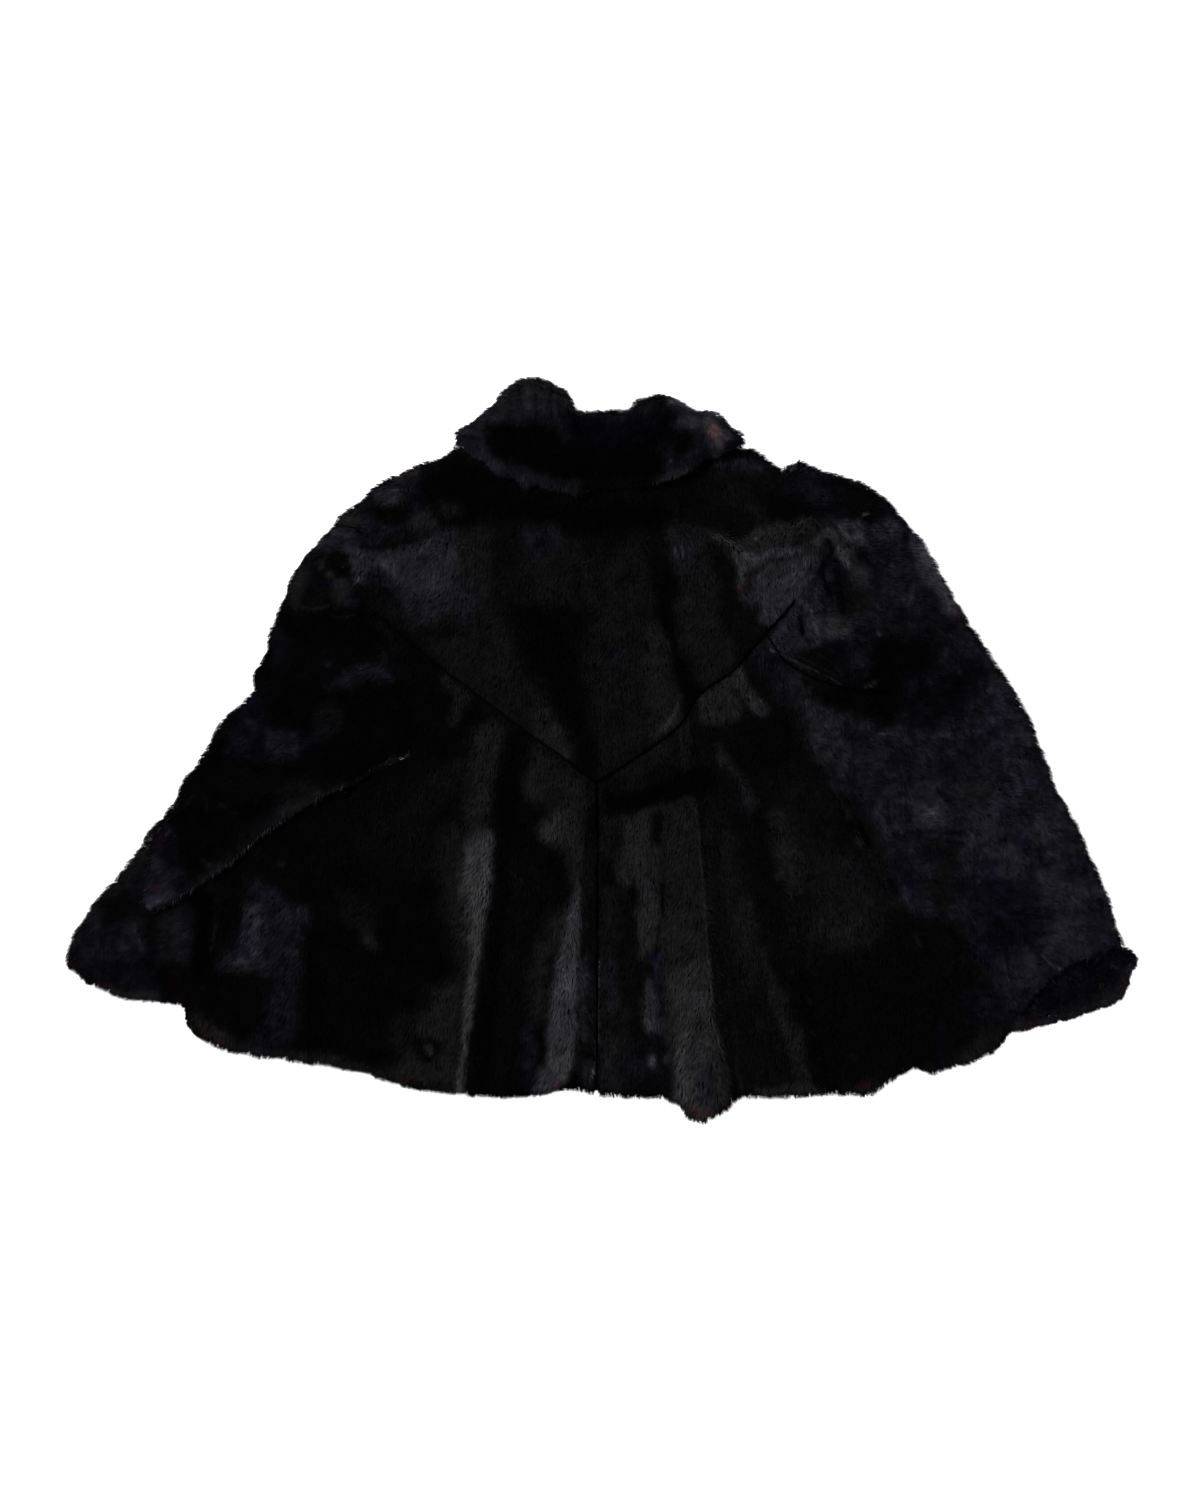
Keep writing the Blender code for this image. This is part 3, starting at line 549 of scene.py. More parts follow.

# Areas of the pile's colour, each holding the nap's tone together with painted light: painted highlights on
# slopes and ridges that face the lamp, and painted shade on those that turn away and in hollows. Each has its
# outline, how light it is painted, how soft its edge is and how blue it is. Later areas lie over earlier
# ones.
Area = namedtuple("Area", "outline stops soft blue", defaults=(5, 0))
yoke_nap_and_painted_light = [
    Area([(-165, 250), (0, 260), (160, 262), (250, 215), (150, 105), (-4, -30), (-208, 122), (-230, 200)],
         plain, 8),
    Area([(-158, 240), (-136, 257), (-104, 252), (-62, 228), (-20, 222), (45, 222), (92, 228), (62, 206),
          (44, 196), (-25, 196), (-75, 206), (-120, 202), (-150, 206)], sunk, 7),
    Area([(-146, 224), (-128, 222), (-124, 212), (-142, 208)], pale, 4),
    Area([(-128, 200), (-108, 198), (-98, 178), (-100, 140), (-96, 108), (-112, 104), (-130, 110),
          (-128, 150)], pale),
    Area([(-130, 144), (-112, 146), (-108, 104), (-126, 104)], light, 4, 0.8),
    Area([(-203, 172), (-190, 180), (-165, 187), (-146, 196), (-130, 198), (-125, 190), (-126, 160),
          (-128, 130), (-137, 122), (-150, 117), (-163, 114), (-176, 123), (-184, 140), (-188, 158)],
         bright, 4, 0.7),
    Area([(-203, 170), (-190, 171), (-179, 165), (-179, 155), (-186, 152), (-194, 158)], silvery, 4, 0.4),
    Area([(-181, 146), (-160, 138), (-130, 134), (-134, 122), (-163, 114), (-178, 124)], pale, 6, 0.8),
    Area([(-152, 98), (-128, 106), (-108, 122), (-86, 112), (-72, 80), (-56, 52), (-46, 30), (-40, 5),
          (-28, -12), (-14, -26), (-24, -46), (-54, -24), (-84, -4), (-126, 30), (-154, 58)], mild),
    Area([(-60, 52), (-50, 48), (-45, 30), (-48, -6), (-62, -6), (-60, 26)], light, 4, 0.5),
    Area([(-44, 26), (-36, 24), (-26, -4), (-30, -30), (-48, -16)], bright, 4),
    Area([(-80, 130), (-20, 130), (-14, 100), (-16, 60), (-10, 10), (0, -30), (-12, -36), (-24, 0),
          (-40, 40), (-50, 60), (-62, 78), (-76, 100)], shaded, 6),
    Area([(-70, 200), (-40, 203), (-34, 186), (-10, 182), (0, 165), (-2, 135), (-20, 128), (-62, 128),
          (-68, 150), (-72, 180)], mild, 6),
    Area([(-70, 198), (-40, 200), (-37, 178), (-66, 172)], mild, 4, 1),
    Area([(5, 175), (22, 186), (38, 180), (44, 160), (48, 130), (58, 95), (64, 70), (72, 42), (74, 14),
          (46, -8), (28, -25), (4, -40), (-4, -14), (-2, 0), (-6, 30), (-14, 60), (-18, 90), (-6, 115),
          (0, 140), (-4, 160)], mild),
    Area([(38, 110), (50, 112), (60, 82), (70, 45), (66, 14), (46, 18), (40, 60)], light, 4),
    Area([(0, 94), (20, 92), (20, 74), (14, 70), (12, 84), (0, 84)], plain, 3, 1),
    Area([(43, 172), (64, 172), (68, 140), (66, 110), (74, 80), (86, 62), (94, 38), (80, 34), (67, 68),
          (61, 94), (55, 118), (49, 140)], shaded, 3),
    Area([(60, 205), (84, 213), (98, 198), (95, 175), (104, 160), (108, 140), (106, 120), (118, 95),
          (124, 62), (102, 49), (85, 62), (73, 85), (67, 110), (68, 150), (60, 172)], pale),
    Area([(62, 196), (88, 194), (86, 164), (70, 160), (60, 172)], light, 5, 0.5),
    Area([(96, 184), (105, 187), (115, 174), (119, 152), (120, 134), (124, 122), (142, 118), (147, 112),
          (142, 98), (132, 92), (122, 108), (112, 112), (107, 130), (108, 150), (98, 166)], plain, 3),
    Area([(98, 262), (130, 262), (152, 254), (142, 246), (98, 250)], light, 4, 1),
    Area([(92, 248), (146, 246), (150, 226), (100, 224)], faint, 7),
    Area([(108, 228), (124, 226), (146, 214), (140, 206), (112, 218)], mild, 4),
    Area([(60, 244), (92, 246), (88, 218), (110, 214), (128, 200), (98, 200), (60, 215)], dull),
    Area([(120, 186), (140, 178), (165, 184), (190, 193), (210, 206), (222, 211), (195, 210), (160, 208),
          (140, 200), (128, 193)], bright, 4),
]
left_shoulder_nap_and_painted_light = [
    Area([(-330, 60), (-290, 140), (-250, 200), (-206, 122), (-150, 75), (-180, 40), (-260, 40)],
         sunk, 8, 0.3),
    Area([(-222, 214), (-200, 218), (-166, 212), (-146, 202), (-166, 190), (-196, 183), (-222, 184)],
         mild, 4, 1.1),
    Area([(-178, 238), (-165, 242), (-158, 226), (-166, 208), (-178, 204), (-176, 222)], faint, 4, 1.1),
    Area([(-176, 202), (-166, 213), (-155, 219), (-147, 206), (-152, 199), (-165, 198)], light, 3, 0.2),
    Area([(-198, 246), (-176, 252), (-164, 253), (-166, 242), (-184, 240)], bright, 4, 0.2),
    Area([(-204, 233), (-186, 237), (-178, 233), (-180, 219), (-200, 218)], bright, 3, 0.4),
    Area([(-208, 217), (-176, 218), (-176, 205), (-186, 201), (-202, 204)], shaded, 3),
    Area([(-214, 184), (-196, 183), (-184, 188), (-166, 194), (-164, 190), (-180, 185), (-196, 180),
          (-214, 180)], dull, 2, 0.5),
    Area([(-240, 204), (-224, 216), (-218, 212), (-220, 202)], light, 3, 0.1),
    Area([(-242, 197), (-232, 200), (-222, 199), (-220, 190), (-232, 187), (-240, 190)], light, 3, 0.3),
    Area([(-262, 184), (-250, 189), (-246, 182), (-256, 178)], bright, 3, 0.1),
    Area([(-250, 189), (-240, 193), (-228, 190), (-226, 182), (-228, 173), (-246, 173), (-250, 180)],
         pale, 3, 0.9),
    Area([(-230, 190), (-222, 188), (-214, 181), (-202, 178), (-200, 168), (-204, 158), (-206, 150),
          (-216, 147), (-222, 151), (-224, 164), (-228, 172)], bright, 3, 0.6),
    Area([(-206, 163), (-198, 160), (-188, 150), (-187, 141), (-196, 143), (-206, 149)], pale, 3, 1.1),
    Area([(-247, 176), (-229, 176), (-227, 166), (-231, 156), (-237, 159), (-245, 164)], shaded, 2),
    Area([(-264, 176), (-252, 178), (-249, 166), (-262, 163)], faint, 3, 0.3),
    Area([(-264, 162), (-250, 161), (-246, 152), (-238, 153), (-236, 146), (-256, 144), (-262, 150)],
         dull, 3, 1.2),
    Area([(-254, 170), (-248, 170), (-248, 162), (-253, 162)], light, 2, 0.7),
    Area([(-247, 161), (-239, 160), (-238, 154), (-245, 154)], light, 2, 0.1),
    Area([(-282, 134), (-274, 160), (-265, 166), (-263, 150), (-270, 124)], pale, 4, 0.2),
    Area([(-258, 144), (-242, 143), (-240, 126), (-262, 124)], dull, 3, 0.1),
    Area([(-242, 151), (-229, 153), (-221, 147), (-226, 134), (-238, 128)], pale, 3, 0.2),
    Area([(-232, 137), (-218, 137), (-217, 128), (-230, 129)], faint, 2, 0.9),
    Area([(-193, 136), (-184, 134), (-172, 114), (-178, 110), (-190, 124)], faint, 3, 0.3),
    Area([(-297, 106), (-284, 106), (-282, 80), (-294, 76)], plain, 5, 1),
    Area([(-246, 96), (-238, 95), (-240, 74), (-252, 74)], sunk, 4, 1),
    Area([(-250, 60), (-235, 66), (-218, 74), (-208, 78), (-198, 84), (-196, 92), (-186, 92), (-184, 80),
          (-188, 60), (-202, 52), (-222, 49), (-242, 53)], mild, 5, 0.8),
]
back_nap_and_painted_light = [
    # left of the middle
    Area([(-350, -130), (-200, 20), (-160, 110), (-4, -8), (-4, -315), (-120, -320), (-300, -290),
          (-370, -260)], shaded, 8),
    Area([(-145, 90), (-128, 80), (-106, 62), (-122, 36), (-130, 20), (-137, 22), (-134, 45), (-142, 58)],
         pale, 3),
    Area([(-200, -42), (-148, -20), (-150, -60), (-160, -110), (-196, -104), (-210, -80)], plain, 12),
    Area([(-175, -42), (-152, -20), (-138, -8), (-122, -6), (-124, -34), (-140, -50), (-160, -50)], faint, 6),
    Area([(-102, 58), (-78, 42), (-86, 12), (-102, 12)], mild, 6),
    Area([(-118, 16), (-96, 22), (-87, 10), (-88, -15), (-94, -40), (-98, -60), (-122, -62), (-120, -40),
          (-119, -10)], light),
    Area([(-142, -70), (-98, -62), (-91, -85), (-96, -120), (-101, -160), (-109, -205), (-128, -205),
          (-138, -170), (-144, -130), (-152, -100)], pale, 6),
    Area([(-123, -80), (-99, -74), (-95, -110), (-98, -140), (-103, -175), (-109, -204), (-118, -204),
          (-120, -160), (-125, -120)], silvery, 4),
    Area([(-152, -212), (-120, -206), (-124, -250), (-128, -303), (-166, -300), (-176, -282), (-170, -258),
          (-168, -240)], light, 6),
    Area([(-119, -204), (-109, -204), (-113, -240), (-117, -275), (-120, -304), (-130, -304), (-126, -270),
          (-124, -235)], silvery, 2),
    Area([(-192, -262), (-186, -240), (-172, -240), (-168, -262), (-180, -272)], mild, 5, 0.3),
    Area([(-168, -262), (-152, -258), (-145, -270), (-152, -280), (-164, -276)], shaded, 4),
    Area([(-160, -264), (-152, -265), (-150, -274), (-157, -274)], bright, 2, 0.4),
    Area([(-204, -290), (-180, -278), (-166, -284), (-172, -302), (-196, -300)], light),
    Area([(-94, -62), (-60, -50), (-62, -80), (-50, -95), (-40, -130), (-50, -170), (-60, -210), (-64, -250),
          (-68, -300), (-118, -304), (-113, -240), (-104, -180), (-96, -130), (-92, -90)], dull, 4),
    Area([(-93, -36), (-80, -18), (-68, -45), (-60, -60), (-60, -92), (-88, -92), (-92, -60)], shaded),
    Area([(-70, -36), (-68, -16), (-58, 8), (-40, 16), (-12, -6), (-2, -34), (-14, -56), (-15, -100),
          (-18, -132), (-26, -128), (-31, -98), (-42, -86), (-52, -82), (-56, -74), (-50, -60), (-54, -50),
          (-64, -46)], pale),
    Area([(-68, -26), (-60, -14), (-46, -12), (-40, -28), (-46, -44), (-56, -50), (-66, -42)], light, 4),
    Area([(-34, -30), (-16, -34), (-15, -100), (-18, -130), (-26, -124), (-31, -98), (-34, -60)], light, 3),
    Area([(-52, -60), (-42, -54), (-26, -58), (-28, -80), (-40, -86), (-53, -80), (-56, -72)], bright, 4),
    Area([(-53, -68), (-46, -60), (-36, -66), (-42, -78), (-52, -77)], glossy, 3),
    Area([(-15, -88), (-5, -80), (-3, -120), (-3, -180), (-14, -184), (-16, -130)], mild, 2),
    Area([(-48, -150), (-28, -138), (-44, -190), (-48, -240), (-66, -244), (-64, -190), (-52, -165)], light),
    Area([(-21, -118), (-16, -140), (-16, -160), (-19, -200), (-21, -250), (-23, -280), (-34, -298),
          (-48, -287), (-50, -255), (-44, -215), (-40, -185), (-34, -155), (-27, -135)], silvery, 3, 0.3),
    Area([(-64, -288), (-46, -286), (-38, -300), (-48, -309), (-64, -307)], silvery, 4, 0.6),
    Area([(-71, -250), (-59, -250), (-58, -296), (-70, -300)], mild, 3, 1.2),
    Area([(-20, -186), (-3, -184), (-4, -290), (-16, -300), (-20, -270)], silvery, 3, 0.3),
    Area([(-24, -262), (-10, -262), (-10, -276), (-24, -280)], pale, 3),
    Area([(-238, -128), (-216, -130), (-204, -138), (-204, -160), (-222, -162), (-232, -148)], faint, 6),
    Area([(-216, -162), (-204, -164), (-199, -178), (-206, -180), (-214, -172)], light, 3),
    Area([(-320, -118), (-302, -114), (-280, -133), (-262, -140), (-257, -156), (-266, -168), (-266, -200),
          (-290, -205), (-310, -197), (-332, -198), (-347, -192), (-334, -172), (-326, -158), (-323, -136)],
         pale, 4, 1),
    Area([(-320, -145), (-306, -140), (-300, -160), (-306, -184), (-330, -192), (-320, -172)],
         glossy, 5, 0.8),
    Area([(-300, -214), (-272, -202), (-270, -240), (-275, -262), (-282, -279), (-310, -275), (-332, -266),
          (-316, -254), (-300, -240)], mild, 4, 1),
    Area([(-374, -238), (-362, -236), (-334, -256), (-326, -268), (-350, -266)], light, 4, 0.2),
    Area([(-330, -262), (-290, -270), (-240, -274), (-196, -290), (-200, -300), (-240, -292), (-290, -284)],
         pale, 3, 0.3),
    # right of the middle
    Area([(-4, -8), (80, 80), (140, 124), (200, 40), (260, -120), (330, -200), (340, -280), (200, -310),
          (100, -340), (-4, -315)], plain, 8),
    Area([(76, 60), (94, 72), (112, 80), (118, 55), (126, 42), (124, 26), (112, 19), (92, 21), (86, 38)],
         bright, 3),
    Area([(67, 30), (79, 34), (81, 5), (79, -15), (74, -17), (70, 0)], pale, 2),
    Area([(12, 6), (60, 24), (64, -4), (50, -14), (34, -34), (20, -34)], mild, 4),
    Area([(6, -38), (24, -42), (40, -36), (52, -29), (60, -33), (57, -46), (55, -57), (44, -58), (20, -58),
          (6, -58)], sunk, 3),
    Area([(58, -30), (70, -20), (96, -18), (102, -34), (86, -44), (74, -48), (60, -45)], sunk, 4),
    Area([(112, 21), (150, 28), (178, 38), (188, 30), (184, 5), (176, -10), (150, -18), (122, -14), (106, 2),
          (92, 14)], dull, 4),
    Area([(110, 80), (121, 88), (131, 62), (141, 50), (150, 38), (147, 30), (138, 32), (128, 44), (118, 58)],
         glossy, 2, 0.3),
    Area([(128, 100), (140, 108), (150, 78), (146, 68), (136, 74)], pale, 3, 0.9),
    Area([(150, 72), (162, 79), (178, 68), (181, 50), (172, 42), (160, 44), (150, 58)], mild, 3, 0.7),
    Area([(182, 62), (196, 62), (200, 46), (186, 42)], sunk, 4, 0.2),
    Area([(101, 2), (106, 6), (114, -6), (122, -15), (134, -28), (141, -45), (141, -60), (134, -62),
          (128, -48), (122, -30), (114, -19), (106, -14)], light, 2, 0.4),
    Area([(0, -62), (18, -62), (14, -84), (14, -108), (20, -124), (26, -150), (30, -180), (28, -230),
          (22, -300), (-3, -300), (-3, -180)], mild, 3),
    Area([(-2, -98), (12, -98), (14, -118), (-2, -120)], dull, 3),
    Area([(0, -120), (12, -126), (12, -148), (0, -148)], pale, 3),
    Area([(14, -132), (30, -138), (32, -190), (22, -230), (14, -200), (18, -160)], plain, 4),
    Area([(18, -62), (40, -53), (60, -46), (84, -44), (88, -80), (92, -110), (95, -150), (98, -182),
          (54, -182), (54, -150), (50, -128), (45, -112), (32, -120), (20, -124), (13, -108), (18, -88)],
         light, 3),
    Area([(22, -62), (42, -56), (48, -84), (56, -100), (48, -124), (36, -122), (18, -116), (16, -104)],
         bright, 4),
    Area([(34, -122), (50, -124), (54, -160), (50, -180), (34, -186), (32, -150)], glossy, 3),
    Area([(47, -58), (56, -56), (56, -70), (52, -84), (46, -82), (45, -70)], plain, 2),
    Area([(122, -62), (144, -58), (152, -85), (156, -120), (162, -145), (172, -172), (184, -184),
          (190, -250), (196, -296), (190, -298), (184, -262), (172, -232), (150, -184), (142, -150),
          (136, -120), (128, -90)], dull, 4),
    Area([(146, -40), (165, -30), (200, -24), (240, -30), (262, -80), (240, -84), (200, -84), (176, -70),
          (160, -76)], faint, 6),
    Area([(148, -50), (166, -60), (180, -80), (186, -110), (176, -140), (172, -168), (164, -140),
          (158, -110), (152, -80)], light, 4),
    Area([(154, -82), (172, -78), (180, -100), (170, -120), (158, -112)], bright, 4),
    Area([(170, -74), (200, -88), (236, -88), (250, -110), (262, -140), (256, -172), (228, -184),
          (196, -190), (180, -190), (176, -150), (180, -120)], pale, 14),
    Area([(202, -138), (226, -140), (232, -170), (218, -180), (204, -166)], light, 6),
    Area([(206, -58), (222, -64), (228, -82), (212, -82)], dull),
    Area([(222, -206), (250, -200), (264, -216), (246, -222), (228, -220)], faint, 6),
    Area([(140, -180), (148, -182), (158, -212), (166, -225), (170, -240), (180, -252), (184, -275),
          (190, -301), (180, -299), (172, -290), (166, -270), (160, -245), (152, -225), (146, -200)],
         light, 3),
    Area([(151, -215), (162, -216), (168, -232), (156, -238)], pale, 3),
    Area([(140, -298), (168, -298), (192, -301), (192, -309), (142, -310)], bright, 2, 0.4),
    Area([(52, -150), (94, -140), (101, -200), (104, -245), (110, -270), (118, -295), (117, -312),
          (104, -325), (88, -335), (76, -324), (66, -308), (66, -280), (62, -250), (56, -215)], light, 9),
    Area([(54, -196), (98, -190), (101, -220), (104, -245), (110, -270), (118, -295), (117, -312),
          (104, -325), (88, -335), (76, -324), (66, -308), (66, -280), (62, -250), (56, -215)], glossy),
    Area([(88, -52), (91, -90), (94, -130), (97, -180), (101, -220), (105, -245), (111, -270), (119, -296),
          (122, -302), (166, -300), (160, -262), (150, -225), (142, -180), (130, -130), (118, -80),
          (112, -56)], faint, 1.6),
    Area([(108, -72), (117, -80), (130, -130), (140, -178), (146, -208), (128, -214), (116, -180),
          (106, -120)], pale),
    Area([(122, -138), (136, -136), (140, -176), (126, -178)], light),
    Area([(92, -60), (99, -62), (108, -140), (116, -210), (127, -298), (119, -298), (106, -245), (97, -150)],
         pale, 2),
    Area([(56, -190), (60, -232), (64, -262), (66, -300), (60, -300), (56, -262), (52, -232), (50, -205)],
         bright, 2),
    Area([(66, -262), (78, -258), (82, -290), (80, -318), (66, -304)], silvery, 4, 0.2),
    Area([(86, -285), (102, -284), (104, -312), (88, -316)], bright, 5, 0.8),
    Area([(42, -180), (54, -184), (57, -236), (50, -232), (46, -204)], pale, 2, 1.2),
    Area([(36, -226), (44, -204), (50, -222), (52, -240), (55, -258), (44, -258), (38, -246)],
         silvery, 3, 0.6),
    Area([(18, -262), (56, -258), (64, -300), (30, -302), (20, -286)], mild, 4, 0.6),
    Area([(43, -275), (49, -275), (49, -284), (43, -284)], glinting, 2),
    Area([(56, -275), (61, -275), (61, -283), (56, -283)], glossy, 2),
    Area([(1, -190), (12, -190), (14, -230), (4, -232)], light, 3, 0.9),
    Area([(0, -256), (12, -256), (14, -296), (0, -296)], light, 4, 0.2),
    Area([(220, -298), (250, -294), (252, -304), (238, -311), (224, -306)], light, 4),
    Area([(318, -268), (346, -260), (356, -270), (330, -288), (288, -292), (284, -280)], light, 3, 0.3),
]
sides_nap_and_painted_light = [
    # right shoulder
    Area([(196, 205), (240, 208), (275, 200), (298, 170), (315, 130), (326, 110), (300, 100), (250, 95),
          (225, 60), (205, 57), (170, 78), (148, 102), (165, 128), (186, 146), (196, 165)], pale, 5, 0.8),
    Area([(136, 156), (150, 168), (180, 176), (198, 186), (198, 170), (190, 150), (178, 138), (165, 126),
          (150, 112), (145, 116), (140, 126), (128, 132), (124, 138), (132, 144)], glossy, 3, 0.5),
    Area([(143, 118), (150, 112), (164, 125), (178, 138), (172, 142), (156, 134)], glossy, 3, 0.4),
    Area([(98, 195), (104, 193), (118, 188), (128, 180), (140, 177), (152, 180), (166, 182), (180, 184),
          (192, 190), (206, 200), (222, 205), (206, 192), (194, 184), (180, 177), (165, 174), (150, 170),
          (138, 165), (132, 157), (129, 146), (123, 142), (121, 152), (119, 165), (113, 177), (104, 186)],
         silvery, 3.5, 0.5),
    Area([(158, 244), (172, 260), (200, 252), (240, 238), (262, 222), (266, 212), (246, 214), (220, 212),
          (184, 212), (164, 228)], plain, 4, 1.1),
    Area([(180, 252), (196, 250), (204, 226), (188, 220), (180, 230)], mild, 5, 0.8),
    Area([(150, 228), (172, 224), (184, 210), (156, 208)], shaded, 3),
    Area([(218, 238), (240, 236), (250, 216), (246, 206), (232, 206), (218, 212)], dull, 3),
    Area([(198, 196), (215, 204), (232, 206), (237, 192), (228, 178), (222, 162), (212, 166), (205, 180)],
         glossy, 3, 0.4),
    Area([(244, 202), (264, 204), (268, 190), (250, 184)], glossy, 4, 0.5),
    Area([(236, 192), (250, 184), (260, 174), (240, 168)], pale, 4, 1),
    Area([(198, 186), (206, 171), (203, 160), (198, 150), (205, 130), (214, 117), (222, 122), (223, 145),
          (216, 160), (212, 172), (204, 187)], pale, 2, 0.8),
    Area([(224, 140), (238, 142), (236, 116), (222, 118)], mild, 3),
    Area([(222, 166), (240, 162), (238, 146), (224, 146)], bright, 3, 0.5),
    Area([(150, 100), (165, 121), (188, 148), (197, 146), (202, 130), (198, 118), (220, 119), (226, 110),
          (218, 96), (200, 92), (180, 88), (160, 86), (150, 93)], bright, 3, 0.7),
    Area([(206, 115), (218, 114), (217, 104), (208, 102)], bright, 2, 0.4),
    Area([(180, 88), (218, 96), (226, 84), (232, 62), (206, 60), (176, 78)], dull, 3, 0.4),
    Area([(221, 92), (235, 97), (240, 82), (234, 66), (224, 68)], mild, 3, 0.8),
    Area([(224, 120), (244, 118), (246, 96), (228, 98)], light, 4, 1),
    Area([(262, 122), (300, 120), (326, 108), (300, 96), (262, 98)], mild, 5, 0.8),
    Area([(278, 194), (296, 182), (312, 152), (322, 124), (310, 122), (302, 135), (290, 150), (280, 165),
          (276, 180)], silvery, 4, 0.5),
    # right arm
    Area([(175, 60), (240, 56), (330, 110), (350, 100), (480, -170), (440, -190), (364, -248), (300, -200),
          (262, -120), (240, -60), (184, 0)], light, 5, 0.95),
    Area([(185, 48), (206, 58), (240, 62), (246, 92), (262, 98), (296, 92), (300, 72), (276, 60), (270, 38),
          (258, 22), (240, 28), (214, 36)], shaded),
    Area([(272, 62), (300, 64), (330, 84), (336, 62), (318, 28), (282, 22), (268, 38)], dull, 8, 1.1),
    Area([(186, 30), (200, 35), (212, 25), (214, 0), (202, -14), (192, -10), (186, 10)], bright, 4, 0.6),
    Area([(252, -22), (300, -24), (306, -66), (262, -62)], light, 8, 0.9),
    Area([(288, -40), (302, -38), (305, -64), (284, -68), (282, -52)], glossy, 5, 0.5),
    Area([(336, -50), (352, -54), (358, -84), (346, -92), (336, -74)], glossy, 6, 0.6),
    Area([(354, -84), (372, -86), (378, -108), (362, -114)], glossy, 5, 0.5),
    Area([(388, -58), (408, -62), (408, -80), (392, -82)], glossy, 5, 0.5),
    Area([(318, -22), (350, -30), (346, -52), (320, -48)], light, 6, 0.6),
    Area([(262, -86), (300, -84), (302, -134), (280, -138), (264, -112)], pale, 6, 0.9),
    Area([(300, -84), (316, -80), (320, -112), (308, -150), (296, -130)], mild, 5, 0.2),
    Area([(318, -120), (345, -112), (372, -118), (394, -125), (400, -150), (395, -178), (372, -176),
          (345, -190), (325, -175), (330, -150)], mild, 7, 1.1),
    Area([(394, -114), (420, -106), (434, -134), (432, -178), (414, -196), (398, -176), (404, -150),
          (396, -130)], bright, 5, 0.6),
    Area([(394, -116), (410, -114), (412, -126), (396, -130)], glossy, 3, 0.4),
    Area([(366, -178), (384, -176), (398, -190), (396, -208), (388, -214), (374, -206), (364, -190)],
         bright, 5, 0.5),
    Area([(262, -150), (300, -150), (325, -160), (330, -190), (342, -206), (325, -240), (330, -262),
          (300, -285), (262, -290), (200, -298), (190, -230), (190, -190), (240, -186)], dull, 6),
    Area([(324, -216), (350, -210), (362, -236), (340, -246), (324, -240)], faint, 6, 1.1),
    Area([(340, -252), (362, -246), (362, -266), (344, -270)], light, 4),
    # left arm and its hem
    Area([(-315, 60), (-260, 50), (-180, 60), (-165, 0), (-230, -32), (-290, -64), (-350, -112),
          (-405, -140), (-420, -90), (-360, -10)], sunk, 6, 0.3),
    Area([(-262, 15), (-255, 38), (-240, 44), (-228, 30), (-235, 14), (-250, 8), (-264, 2)], plain, 4, 0.3),
    Area([(-316, 55), (-303, 46), (-296, 25), (-272, 16), (-266, 4), (-280, -12), (-296, -14), (-318, -8),
          (-334, -2), (-333, 20), (-325, 35)], dull, 4, 1.2),
    Area([(-300, 18), (-272, 16), (-268, 2), (-282, -10), (-298, -4)], pale, 4, 0.9),
    Area([(-330, -16), (-300, -20), (-300, -40), (-340, -40), (-366, -52), (-360, -34)], shaded, 8),
    Area([(-288, -32), (-275, -24), (-262, -28), (-244, -40), (-280, -57), (-289, -58)], faint, 4, 0.1),
    Area([(-330, -68), (-300, -58), (-290, -62), (-320, -92), (-328, -84)], dull, 5, 0.4),
    Area([(-398, -60), (-412, -78), (-424, -98), (-442, -120), (-462, -148), (-476, -172), (-466, -174),
          (-450, -150), (-428, -120), (-410, -100), (-402, -82)], hidden, 3, 0.1),
]
